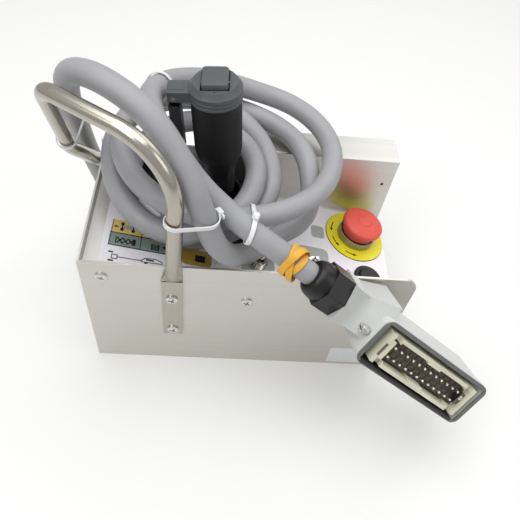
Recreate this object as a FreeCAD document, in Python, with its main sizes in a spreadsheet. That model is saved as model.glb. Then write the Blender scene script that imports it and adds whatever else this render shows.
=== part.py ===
"""Platform control box of a scissor lift, built as separate named pieces.

While a piece is built, X runs from the front wall to the operator's end, Y from
the near plate to the rear channel and Z up from the base. Every finished piece
is then shifted so that the middle of the base is the origin.
"""
import FreeCAD
import Part
import Sketcher
import math
import os
import re

DOC = FreeCAD.newDocument("control_box")
V = FreeCAD.Vector

SIZES = (
    ("box_length", 272.0, "front wall to operator end"),
    ("sheet", 2.0, "sheet metal thickness"),
    ("wall_height", 147.0, "near plate and front wall"),
    ("far_height", 160.0, "far plate and rear channel"),
    ("inner_depth", 126.0, "near plate outer face to far plate inner face"),
    ("channel_depth", 32.0, "far plate inner face to back of the channel"),
    ("corner_round", 13.0, "near plate corner at the operator end"),
    ("channel_left", 92.0, "left end of the rear channel"),
    ("panel_height", 138.3, "panel surface carried on to the front wall"),
    ("panel_slope", 11.56, "degrees, down to the operator end"),
    ("panel_gap", 1.5, "panel to front wall and to apron"),
    ("panel_flange", 11.4, "folded side of the panel"),
    ("tray_flange", 18.0, "folded side of the tray"),
    ("fit_gap", 0.3, "clearance round what passes through a hole"),
    ("overlay_thick", 0.5, "printed legend sheet"),
    ("overlay_left", 13.0, "left edge of the legend sheet"),
    ("overlay_margin", 3.0, "legend sheet to the panel sides"),
    ("screw_radius", 2.0, "panel screw shank"),
    ("screw_head_radius", 4.2, "panel screw head"),
    ("screw_head_height", 2.4, "panel screw head"),
    ("screw_length", 7.0, "shank below the head"),
    ("screw_left", 16.9, "left panel screw"),
    ("screw_left_drop", 5.5, "left panel screw below the panel surface"),
    ("screw_right", 134.8, "right panel screw"),
    ("screw_right_drop", 6.9, "right panel screw below the panel surface"),
    ("vent_from_end", 9.2, "small hole in the far plate"),
    ("vent_height", 131.5, "small hole in the far plate"),
    ("vent_radius", 1.5, "small hole in the far plate"),
    ("handle_diameter", 12.0, "carry handle tube"),
    ("strap_width", 17.2, "flattened end of the handle"),
    ("strap_thick", 3.2, "flattened end of the handle"),
    ("strap_inset", 0.25, "squashed tube inside the strap outline"),
    ("strap_x", 72.5, "middle of the near strap"),
    ("strap_bottom", 50.4, "near strap lower edge"),
    ("strap_top", 131.0, "near strap, where it starts to round"),
    ("strap_screw_low", 59.0, "lower handle screw"),
    ("strap_nut_gap", 0.5, "upper handle nut below the panel's fold"),
    ("far_strap_x", 52.0, "middle of the far strap"),
    ("far_strap_bottom", 48.0, "far strap lower edge"),
    ("far_strap_top", 74.0, "far strap, where it starts to round"),
    ("far_strap_squash", 15.0, "squashed length above the far strap"),
    ("far_strap_off", 7.5, "tube axis from the far plate there"),
    ("far_screw_low", 55.0, "lower far handle screw"),
    ("far_screw_high", 67.0, "upper far handle screw"),
    ("bolt_radius", 2.5, "handle screw shank"),
    ("bolt_head_radius", 4.8, "handle screw head"),
    ("bolt_head_height", 2.8, "handle screw head"),
    ("bolt_nut_across", 8.0, "handle screw nut"),
    ("bolt_nut_height", 4.0, "handle screw nut"),
    ("estop_from_end", 30.1, "stop button from the operator end"),
    ("estop_from_far", 32.8, "stop button from the far plate"),
    ("estop_legend_radius", 30.0, "yellow disc under the stop button"),
    ("estop_legend_thick", 1.2, "yellow disc"),
    ("estop_barrel_radius", 11.0, "stop switch barrel"),
    ("estop_barrel_depth", 24.0, "stop switch barrel below the panel"),
    ("estop_bore", 8.0, "stop switch bore"),
    ("estop_collar_radius", 18.5, "bright collar"),
    ("estop_collar_bore", 17.1, "bright collar"),
    ("estop_collar_floor", 3.2, "collar floor above the panel"),
    ("estop_collar_top", 9.7, "collar top above the panel"),
    ("estop_neck_radius", 16.5, "button neck"),
    ("estop_neck_low", 8.2, "button neck bottom"),
    ("estop_neck_high", 14.6, "button neck top"),
    ("estop_button_radius", 20.0, "mushroom head"),
    ("estop_rim_low", 18.0, "mushroom rim lower edge"),
    ("estop_rim_high", 22.0, "mushroom rim upper edge"),
    ("estop_dome", 25.0, "mushroom top"),
    ("estop_under_in", 0.7, "mushroom rim, lower edge inwards"),
    ("estop_under_up", 0.8, "mushroom rim, lower edge upwards"),
    ("estop_brow_down", 1.0, "mushroom rim, upper edge downwards"),
    ("estop_brow_in", 2.0, "mushroom rim, upper edge inwards"),
    ("estop_brow_up", 0.8, "mushroom rim, upper edge rise"),
    ("estop_crown_in", 8.0, "mushroom crown inside the rim"),
    ("estop_crown_down", 0.6, "mushroom crown below the top"),
    ("estop_groove_half", 0.8, "half width of the mushroom's ring groove"),
    ("estop_groove_deep", 0.7, "depth of the mushroom's ring groove"),
    ("estop_groove", 7.0, "ring groove on the mushroom"),
    ("estop_stem_radius", 7.5, "moving stem"),
    ("estop_stem_low", 18.0, "moving stem below the panel"),
    ("estop_stem_high", 16.0, "moving stem above the panel"),
    ("lock_across", 28.0, "lock nuts of the panel switches"),
    ("lock_height", 4.0, "lock nuts of the panel switches"),
    ("contact_side", 30.0, "contact block"),
    ("contact_height", 20.0, "contact block"),
    ("toggle_spacing", 51.1, "left toggle from the right one, along the box"),
    ("toggle_low_off", 49.0, "left toggle from the joystick, across"),
    ("toggle_high_from_end", 76.9, "right toggle from the operator end"),
    ("toggle_high_off", 39.6, "right toggle from the joystick, across"),
    ("toggle_body_length", 27.5, "toggle case"),
    ("toggle_body_width", 14.0, "toggle case"),
    ("toggle_body_depth", 20.0, "toggle case"),
    ("toggle_bush_radius", 6.0, "toggle bushing"),
    ("toggle_bush_top", 7.5, "toggle bushing"),
    ("toggle_bush_bore", 3.6, "toggle bushing"),
    ("toggle_nut_across", 16.0, "toggle nut"),
    ("toggle_nut_top", 3.0, "toggle nut"),
    ("toggle_pivot", 4.0, "toggle pivot above the panel"),
    ("toggle_ball", 2.6, "toggle lever ball"),
    ("toggle_lever_low", 1.7, "toggle lever radius at the bushing"),
    ("toggle_lever_high", 2.6, "toggle lever radius at the tip"),
    ("toggle_lever_top", 13.5, "toggle lever tip"),
    ("toggle_root", 1.0, "straight part of the lever above the bush"),
    ("toggle_taper", 3.0, "widest part of the lever below its tip"),
    ("toggle_tip", 1.5, "rounded tip of the lever"),
    ("toggle_pin_radius", 1.2, "toggle lever cross pin"),
    ("horn_from_end", 23.1, "horn button from the operator end"),
    ("horn_off", 49.5, "horn button from the stop button, across"),
    ("horn_barrel_radius", 11.0, "horn barrel"),
    ("horn_barrel_depth", 20.0, "horn barrel below the panel"),
    ("horn_floor", 3.0, "horn barrel floor"),
    ("horn_bezel_radius", 13.5, "horn bezel"),
    ("horn_bezel_top", 3.5, "horn bezel"),
    ("horn_bore", 9.6, "horn bore"),
    ("horn_cap_radius", 9.3, "horn cap"),
    ("horn_cap_low", 6.0, "horn cap below the panel"),
    ("horn_cap_top", 6.0, "horn cap above the panel"),
    ("horn_bevel", 1.0, "bevel of the horn bezel and cap"),
    ("sounder_x", 38.0, "alarm sounder"),
    ("sounder_from_far", 18.0, "alarm sounder from the far plate"),
    ("sounder_radius", 14.0, "alarm sounder"),
    ("sounder_waist", 12.8, "alarm sounder grooves"),
    ("sounder_top", 14.0, "alarm sounder"),
    ("sounder_stud", 6.0, "alarm sounder fixing stud"),
    ("sounder_stud_depth", 14.0, "alarm sounder fixing stud"),
    ("stick_x", 110.5, "joystick, at the panel surface"),
    ("stick_from_far", 40.0, "joystick from the far plate"),
    ("stick_lean", 5.0, "degrees from upright, to the front wall"),
    ("stick_base_side", 66.0, "wedge under the joystick"),
    ("stick_base_top", 13.0, "wedge top"),
    ("stick_base_bore", 21.0, "wedge opening"),
    ("stick_hole", 24.0, "panel opening under the wedge"),
    ("boot_low_radius", 28.0, "rubber boot foot"),
    ("boot_foot_top", 16.0, "rubber boot foot"),
    ("boot_top_radius", 17.5, "rubber boot mouth"),
    ("boot_top", 33.0, "rubber boot mouth"),
    ("boot_wall", 2.5, "rubber boot wall"),
    ("boot_lip", 3.0, "rubber boot foot outside the pleats"),
    ("boot_bulge", 1.6, "rubber boot pleat outwards"),
    ("stick_case_side", 58.0, "joystick case below the panel"),
    ("stick_case_depth", 46.0, "joystick case below the panel"),
    ("stick_case_wall", 3.0, "joystick case"),
    ("shaft_radius", 6.0, "joystick shaft"),
    ("shaft_low", 28.0, "shaft below the panel surface"),
    ("shaft_high", 60.0, "shaft inside the grip"),
    ("pivot_depth", 12.0, "joystick pivot below the panel surface"),
    ("pivot_radius", 3.0, "joystick pivot pin"),
    ("grip_low", 38.0, "grip bottom"),
    ("grip_neck_radius", 12.4, "grip neck"),
    ("grip_neck_top", 59.0, "grip neck"),
    ("grip_shoulder", 81.0, "grip gets its full width"),
    ("grip_shoulder_radius", 19.0, "grip"),
    ("grip_high", 129.5, "grip top"),
    ("grip_high_radius", 19.3, "grip top"),
    ("cap_radius", 20.0, "joystick cap"),
    ("cap_rim", 140.0, "joystick cap rim"),
    ("cap_top", 143.0, "joystick cap crown"),
    ("cap_top_radius", 16.5, "joystick cap crown"),
    ("cap_groove", 0.8, "ring grooves of the joystick cap"),
    ("cap_groove_low", 132.0, "lower ring groove"),
    ("cap_groove_high", 135.2, "upper ring groove"),
    ("cap_bevel", 1.5, "bevel of the joystick cap"),
    ("rocker_side", 19.5, "steering rocker"),
    ("rocker_deep", 23.5, "steering rocker, across the box"),
    ("rocker_low", 139.2, "steering rocker bottom"),
    ("rocker_high", 147.4, "steering rocker top"),
    ("rocker_pivot", 141.2, "steering rocker pivot"),
    ("rocker_pin_radius", 1.2, "steering rocker pivot"),
    ("rocker_pin_length", 30.0, "steering rocker pivot"),
    ("rocker_floor", 136.8, "pocket under the rocker"),
    ("rocker_gap", 0.8, "pocket round the rocker"),
    ("trigger_out", 35.0, "trigger outer face from the axis"),
    ("trigger_thick", 8.5, "trigger bar"),
    ("trigger_width", 14.0, "trigger bar"),
    ("trigger_low", 80.0, "trigger bar bottom"),
    ("trigger_high", 125.0, "trigger bar top"),
    ("trigger_ear_width", 6.0, "trigger ear"),
    ("trigger_ear_top", 136.0, "trigger ear"),
    ("trigger_pivot", 132.5, "trigger pivot"),
    ("trigger_pin_radius", 1.5, "trigger pivot"),
    ("lug_width", 16.0, "trigger lug on the cap"),
    ("lug_high", 137.5, "trigger lug top"),
    ("lug_slot", 7.2, "slot for the trigger ear"),
    ("lug_slot_deep", 23.0, "slot end from the axis"),
    ("board_from_end", 82.0, "middle of the circuit board from the operator end"),
    ("board_length", 110.0, "circuit board"),
    ("board_width", 80.0, "circuit board"),
    ("board_thick", 1.6, "circuit board"),
    ("post_radius", 3.0, "board posts"),
    ("post_height", 10.0, "board posts"),
    ("post_inset", 6.0, "board posts from the board edge"),
    ("cable_diameter", 18.0, "control cable"),
    ("cable_squeeze", 0.15, "seals pressed into the cable"),
    ("cable_straight", 5.0, "cable beyond the hood gland before it bends"),
    ("box_gland_off", 15.0, "cable gland from the far plate's outer face"),
    ("box_gland_z", 36.0, "cable gland on the channel"),
    ("box_gland_reach", 8.0, "cable end from the channel, inside the gland"),
    ("box_gland_thread", 11.5, "gland thread radius"),
    ("box_gland_across", 27.0, "gland hexagon"),
    ("box_gland_hex", 9.0, "gland hexagon length"),
    ("box_gland_inside", 10.0, "thread inside the channel"),
    ("box_gland_cap", 17.0, "gland cap nut length"),
    ("box_gland_cap_radius", 13.4, "gland cap nut"),
    ("box_gland_mouth_radius", 11.2, "gland cap nut mouth"),
    ("gland_lock_across", 25.0, "gland lock nut"),
    ("gland_lock_height", 5.0, "gland lock nut"),
    ("hood_length", 114.0, "connector hood"),
    ("hood_width", 40.0, "connector hood"),
    ("hood_depth", 50.0, "connector hood"),
    ("hood_wall", 2.5, "connector hood"),
    ("hood_round", 6.0, "connector hood corners"),
    ("rim_length", 116.0, "hood rim"),
    ("rim_width", 42.0, "hood rim"),
    ("rim_depth", 7.0, "hood rim"),
    ("rim_round", 8.0, "hood rim corners"),
    ("gasket_depth", 1.6, "gasket on the rim"),
    ("gasket_lip", 0.2, "gasket set in from the rim edge"),
    ("gasket_round", 7.0, "gasket corners"),
    ("entry_y", 6.0, "cable entry across the hood"),
    ("entry_z", 29.0, "cable entry below the rim"),
    ("entry_long", 31.0, "tapered entry of the hood"),
    ("entry_neck", 16.0, "entry block beyond the slanted end wall"),
    ("entry_neck_side", 31.0, "entry where it leaves the end wall"),
    ("entry_neck_front", 11.0, "front of the entry there, from its axis"),
    ("entry_step", 1.6, "tapered entry below the rim"),
    ("entry_side", 34.0, "entry end face"),
    ("hood_gland_bore_wall", 3.0, "gland body wall"),
    ("hood_gland_across", 33.0, "gland hexagon"),
    ("hood_gland_hex", 6.0, "gland hexagon length"),
    ("hood_gland_grip", 11.0, "hexagon of the gland cap nut"),
    ("hood_gland_cap", 23.0, "gland cap nut length"),
    ("hood_gland_cap_radius", 16.0, "gland cap nut"),
    ("hood_gland_mouth_radius", 11.2, "gland cap nut mouth"),
    ("insert_length", 96.0, "contact insert"),
    ("insert_width", 28.5, "contact insert"),
    ("insert_low", 38.0, "insert bottom below the rim"),
    ("insert_floor", 20.0, "insert floor below the rim"),
    ("insert_high", -1.5, "insert wall top below the rim"),
    ("insert_wall", 3.0, "insert wall"),
    ("insert_step", 1.6, "long walls thicker between the bays"),
    ("insert_bay", 30.0, "wide bay between the long walls"),
    ("insert_bay_at", 22.0, "middle of a bay from the middle of the insert"),
    ("insert_gap", 7.0, "notch in the long walls"),
    ("insert_gap_at", 41.0, "middle of a notch from the middle of the insert"),
    ("insert_gap_deep", 6.0, "notch below the wall top"),
    ("pin_rows", 12, "contacts in one row"),
    ("pin_pitch", 6.6, "contact pitch along the insert"),
    ("pin_row_gap", 9.0, "between the contact rows"),
    ("pin_radius", 1.25, "contact pin"),
    ("pin_top", 7.0, "contact pin top below the rim"),
    ("peg_radius", 3.9, "locking peg"),
    ("peg_out", 7.0, "locking peg beyond the rim"),
    ("peg_z", 11.5, "locking peg below the rim"),
    ("tie_width", 4.5, "cable tie band"),
    ("tie_thick", 1.3, "cable tie band"),
    ("tie_slack", 1.7, "band to strand"),
    ("tie_head", 8.0, "cable tie head"),
    ("band_radius", 10.6, "rubber band turn"),
    ("band_thick", 1.4, "rubber band turn"),
    ("band_step", 3.0, "rubber band turn spacing"),
)
# Sizes worked out from the ones above.
DERIVED = (
    ("box_depth", "inner_depth + channel_depth", "near plate to back of the channel"),
    ("stick_y", "inner_depth - stick_from_far", "joystick"),
    ("sounder_y", "inner_depth - sounder_from_far", "alarm sounder"),
    ("toggle_low_y", "stick_y - toggle_low_off", "left toggle"),
    ("toggle_high_x", "box_length - toggle_high_from_end", "right toggle"),
    ("toggle_high_y", "stick_y - toggle_high_off", "right toggle"),
    ("toggle_low_x", "toggle_high_x - toggle_spacing", "left toggle"),
    ("estop_x", "box_length - estop_from_end", "stop button"),
    ("estop_y", "inner_depth - estop_from_far", "stop button"),
    ("horn_x", "box_length - horn_from_end", "horn button"),
    ("horn_y", "estop_y - horn_off", "horn button"),
    ("vent_x", "box_length - vent_from_end", "small hole in the far plate"),
    ("board_x", "box_length - board_from_end", "circuit board"),
    ("board_y", "(inner_depth + sheet) / 2", "circuit board"),
    ("box_gland_y", "inner_depth + sheet + box_gland_off", "cable gland on the channel"),
    ("screw_left_height", "panel_height - screw_left * tan(panel_slope) - screw_left_drop",
     "left panel screw"),
    ("screw_right_height", "panel_height - screw_right * tan(panel_slope) - screw_right_drop",
     "right panel screw"),
    ("fold_edge", "panel_height - strap_x * tan(panel_slope) - panel_flange / cos(panel_slope)",
     "panel fold at the strap"),
    ("strap_screw_high", "fold_edge - bolt_nut_across / sqrt(3) - strap_nut_gap", "upper handle screw"),
)
NAMES = {name for name, value, note in SIZES + DERIVED}

sheet = DOC.addObject("Spreadsheet::Sheet", "Sizes")
for row, (alias, value, note) in enumerate(SIZES + DERIVED, start=1):
    sheet.set("A%d" % row, alias)
    sheet.set("B%d" % row, "=" + value if isinstance(value, str) else "%g" % value)
    sheet.set("C%d" % row, note)
    sheet.setAlias("B%d" % row, alias)
DOC.recompute()
SIZE = {name: sheet.get(name) for name in NAMES}

NODES = {}
UP = V(0, 0, 1)

# Hand-chosen cable points: out of the hood, over to the coil, round it, and
# down behind the box to the gland on the channel.
CABLE_HEAD = (
    (156.6, -2.1, 174), (132, 5.5, 188), (110, 19, 196.5), (91, 27, 211), (75, 32, 234),
    (57, 55, 243),
)
# Left, back, right and front reach of each turn of the coil.
COIL_REACH = (
    (49.5, 85, 243), (136, 177, 188), (207, 113, 172), (104, 22, 180),
    (21, 104, 190), (79, 161, 191), (153, 92, 161), (91, 36, 136),
    (28, 88, 159), (81, 139, 181), (138, 84, 173), (73, 23, 156),
    (12, 109, 172), (78, 177, 175), (185, 102, 169),
)
COIL_STEPS = 3
BOOT_PLEATS = 5
CABLE_TAIL = (
    (187, 67, 140), (153, 45.9, 134), (125.5, 13.3, 146.5), (106, 2, 170), (94, 2, 212),
    (86, 7, 235), (66, 24, 263), (45, 38, 274), (18, 54, 278), (-3, 73, 264),
    (-11.5, 94, 227), (-17.5, 125, 180), (-19.5, 152, 121), (-9.2, 148, 90),
    (0, 146, 60), (23, 146, 43),
)
# Each tie: a place on each of the two things it holds, what each one is, and the band's axis.
TIES = (
    ((76.5, -6.5, 207), "handle", (96.6, 1.6, 203), "strand", (0.1, 0.06, 0.99)),
    ((129.5, 7, 189.5), "loose", (128, 26.5, 178.5), "loose", (-0.95, 0.07, 0.24)),
    ((-17.2, 87, 191.4), "handle", (-14.6, 110.2, 202.5), "strand", (-0.1, 0.52, -0.85)),
    ((56.5, 107.6, 234), "strand", (56.8, 107.6, 234.2), "strand", (11.4, 46, -18.3)),
)
# Corners of the handle tube and the bend radius at each inner corner.
HANDLE_CORNERS = (
    (74.5, -6.5, 147), (78.4, -6.5, 266.6), (-12.5, 46.6, 268.9), (-18, 94, 178),
    (-9, 136, 128),
)
HANDLE_BENDS = (45.0, 16.0, 60.0, 14.0, 16.0)
# Connector hood: middle of the rim and its long and short directions.
HOOD_AT = (272.85, -67.2, 115.55)
HOOD_LONG = (0.827, -0.216, -0.518)
HOOD_SHORT = (0.558, 0.422, 0.714)


def ex(text):
    """Return an expression with every size name pointed at the sheet.

    Args:
        text: Expression in size names.

    Returns:
        Expression the document understands.
    """
    return re.sub(r"[a-z_]+", lambda m: "Sizes." + m.group(0) if m.group(0) in NAMES else m.group(0), text)


def number(text):
    """Return the value of an expression in size names."""
    return float(sheet.evalExpression(ex(text)))


def bind(obj, **texts):
    """Bind properties of an object to expressions and return the object."""
    for prop, text in texts.items():
        obj.setExpression(prop, ex(text))
    return obj


def place(obj, x="0", y="0", z="0"):
    """Bind where an object stands and return it."""
    for axis, text in zip("xyz", (x, y, z)):
        obj.setExpression("Placement.Base." + axis, ex(text))
    return obj


def tip(obj, angle, about):
    """Bind how far an object is turned about a direction and return it."""
    obj.Placement = FreeCAD.Placement(obj.Placement.Base, FreeCAD.Rotation(about, 10))
    obj.setExpression("Placement.Rotation.Angle", ex(angle))
    return obj


def box(name, size, at):
    """Return a bound box; size and at are three expressions each."""
    obj = DOC.addObject("Part::Box", name)
    bind(obj, Length=size[0], Width=size[1], Height=size[2])
    return place(obj, *at)


def rod(name, radius, height, at=("0", "0", "0"), along=UP):
    """Return a bound cylinder that starts at a point and runs along a direction."""
    obj = DOC.addObject("Part::Cylinder", name)
    bind(obj, Radius=radius, Height=height)
    obj.Placement = FreeCAD.Placement(V(), FreeCAD.Rotation(UP, along))
    return place(obj, *at)


def hexagon(name, across, height, at=("0", "0", "0"), along=UP):
    """Return a bound hexagonal prism given its width across flats."""
    obj = DOC.addObject("Part::Prism", name)
    obj.Polygon = 6
    bind(obj, Circumradius="%s / sqrt(3)" % across, Height=height)
    obj.Placement = FreeCAD.Placement(V(), FreeCAD.Rotation(UP, along))
    return place(obj, *at)


def fuse(name, pieces):
    """Return the union of pieces as one object."""
    obj = DOC.addObject("Part::MultiFuse", name)
    obj.Shapes = pieces
    obj.Refine = True
    return obj


def cut(name, base, tools):
    """Return a base with every tool taken out of it."""
    obj = DOC.addObject("Part::Cut", name)
    obj.Base = base
    obj.Tool = tools[0] if len(tools) == 1 else fuse(name + "_tools", tools)
    obj.Refine = True
    return obj


def group(name, pieces):
    """Return separate pieces kept together as one object."""
    obj = DOC.addObject("Part::Compound", name)
    obj.Links = pieces
    return obj


def turned(name, corners):
    """Return a body turned round its own Z axis.

    Args:
        name: Name of the body.
        corners: (radius, height) expressions round the closed outline.

    Returns:
        The body, its sketch held by constraints bound to the sheet.
    """
    body = DOC.addObject("PartDesign::Body", name)
    sketch = body.newObject("Sketcher::SketchObject", name + "_profile")
    sketch.AttachmentSupport = ([f for f in body.Origin.OriginFeatures if f.Role == "XZ_Plane"][0], [""])
    sketch.MapMode = "FlatFace"
    points = [V(number(radius), number(height), 0) for radius, height in corners]
    count = len(points)
    for i in range(count):
        sketch.addGeometry(Part.LineSegment(points[i], points[(i + 1) % count]), False)
    for i in range(count):
        sketch.addConstraint(Sketcher.Constraint("Coincident", i, 2, (i + 1) % count, 1))
    for i, texts in enumerate(corners):
        for kind, text, value, axis in zip(("DistanceX", "DistanceY"), texts, points[i], (-2, -1)):
            if abs(value) < 1e-6:
                sketch.addConstraint(Sketcher.Constraint("PointOnObject", i, 1, axis))
                continue
            index = sketch.addConstraint(Sketcher.Constraint(kind, -1, 1, i, 1, value))
            label = "%s_%d" % (kind, i)
            sketch.renameConstraint(index, label)
            sketch.setExpression("Constraints." + label, ex(text))
    turn = body.newObject("PartDesign::Revolution", name + "_turn")
    turn.Profile = sketch
    turn.ReferenceAxis = (sketch, ["V_Axis"])
    turn.Angle = 360
    sketch.Visibility = False
    return body


def node(obj, label):
    """Keep an object as a finished piece under a label."""
    obj.Label = label
    NODES[label] = obj
    return obj


def in_box(obj, x="0", y="0", z="0"):
    """Shift an object from the building corner to the middle of the base."""
    return place(obj, x + " - box_length / 2", y + " - box_depth / 2", z)


def on_panel(obj, x, y):
    """Stand an object on the panel surface, square to it."""
    tip(obj, "panel_slope", V(0, 1, 0))
    return in_box(obj, x, y, "panel_height - (%s) * tan(panel_slope)" % x)


def on_stick(obj):
    """Put an object on the joystick's own leaning axis."""
    tip(obj, "stick_lean", V(0, -1, 0))
    return in_box(obj, "stick_x", "stick_y", "panel_height - stick_x * tan(panel_slope)")


def on_hood(obj):
    """Put an object in the frame of the connector's rim."""
    turn = FreeCAD.Rotation(V(*HOOD_LONG), V(*HOOD_SHORT), V())
    base = V(*HOOD_AT) - V(SIZE["box_length"] / 2, SIZE["box_depth"] / 2, 0)
    obj.Placement = FreeCAD.Placement(base, turn)
    return obj


def hood_point(x, y, z):
    """Return a point of the connector's rim frame in building coordinates."""
    turn = FreeCAD.Rotation(V(*HOOD_LONG), V(*HOOD_SHORT), V())
    return V(*HOOD_AT) + turn.multVec(V(x, y, z))


def solid(name, shape):
    """Return an object for a shape that no bound feature can make."""
    obj = DOC.addObject("Part::Feature", name)
    obj.Shape = shape
    obj.Placement = FreeCAD.Placement(V(-SIZE["box_length"] / 2, -SIZE["box_depth"] / 2, 0),
                                      FreeCAD.Rotation())
    return obj


def bent_path(points, radius_at):
    """Return straight runs joined by tangent arcs.

    Args:
        points: Corner points as vectors.
        radius_at: Function of corner number, shorter run and half turn (radians).

    Returns:
        The wire and the list of bend radii.
    """
    edges = []
    radii = []
    last = points[0]
    for i in range(1, len(points) - 1):
        back = points[i - 1] - points[i]
        ahead = points[i + 1] - points[i]
        half = (math.pi - back.getAngle(ahead)) / 2
        radius = radius_at(i, min(back.Length, ahead.Length), half)
        reach = radius * math.tan(half)
        back.normalize()
        ahead.normalize()
        start = points[i] + back * reach
        end = points[i] + ahead * reach
        middle = (back + ahead).normalize()
        mid = points[i] + middle * (radius / math.cos(half) - radius)
        edges.append(Part.LineSegment(last, start).toShape())
        edges.append(Part.Arc(start, mid, end).toShape())
        radii.append(radius)
        last = end
    edges.append(Part.LineSegment(last, points[-1]).toShape())
    return Part.Wire(edges), radii


def tube(wire, first, second, radius):
    """Return a round bar swept along a wire that leaves first towards second."""
    ring = Part.Wire(Part.Circle(first, second - first, radius).toShape())
    return wire.makePipeShell([ring], True, True)


def coil_points():
    """Return the points of the coil, quarter ellipses from reach to reach."""
    points = []
    for i in range(len(COIL_REACH) - 1):
        ax, ay, az = COIL_REACH[i]
        bx, by, bz = COIL_REACH[i + 1]
        for k in range(COIL_STEPS):
            part = k / COIL_STEPS
            near = math.cos(math.pi / 2 * part)
            far = math.sin(math.pi / 2 * part)
            if i % 2 == 0:
                points.append(V(bx + (ax - bx) * near, ay + (by - ay) * far, az + (bz - az) * part))
            else:
                points.append(V(ax + (bx - ax) * far, by + (ay - by) * near, az + (bz - az) * part))
    return points + [V(*COIL_REACH[-1])]


def hoop(first, first_radius, second, second_radius, along):
    """Return a flat band pulled round two round bars.

    Args:
        first: Middle of the first bar.
        first_radius: Its radius with slack.
        second: Middle of the second bar.
        second_radius: Its radius with slack.
        along: Direction the bars run in.

    Returns:
        The band with its square head.
    """
    along = V(along).normalize()
    across = second - first
    across = across - along * across.dot(along)
    gap = across.Length
    across.normalize()
    side = along.cross(across)

    def slab(grow):
        """Return the filled outline, grown outwards."""
        small = first_radius + grow
        large = second_radius + grow
        lean = math.acos((small - large) / gap)
        tangent = across * math.cos(lean)
        lift = side * math.sin(lean)
        end = first + across * gap
        one = first + (tangent + lift) * small
        two = end + (tangent + lift) * large
        three = end + (tangent - lift) * large
        four = first + (tangent - lift) * small
        edges = [
            Part.LineSegment(one, two).toShape(),
            Part.Arc(two, end + across * large, three).toShape(),
            Part.LineSegment(three, four).toShape(),
            Part.Arc(four, first - across * small, one).toShape(),
        ]
        face = Part.Face(Part.Wire(edges))
        face.translate(along * (-SIZE["tie_width"] / 2))
        return face.extrude(along * SIZE["tie_width"])

    band = slab(SIZE["tie_thick"]).cut(slab(0.0))
    head = Part.makeBox(SIZE["tie_head"], SIZE["tie_head"] / 2, SIZE["tie_head"] * 0.75)
    head.translate(V(-SIZE["tie_head"] / 2, 0, -SIZE["tie_head"] * 0.375))
    seat = first + across * (gap / 2) + side * ((first_radius + second_radius) / 2 + SIZE["tie_thick"] / 2)
    head.Placement = FreeCAD.Placement(seat, FreeCAD.Rotation(across, side, along)) * head.Placement
    return band.fuse(head).removeSplitter()


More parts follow.
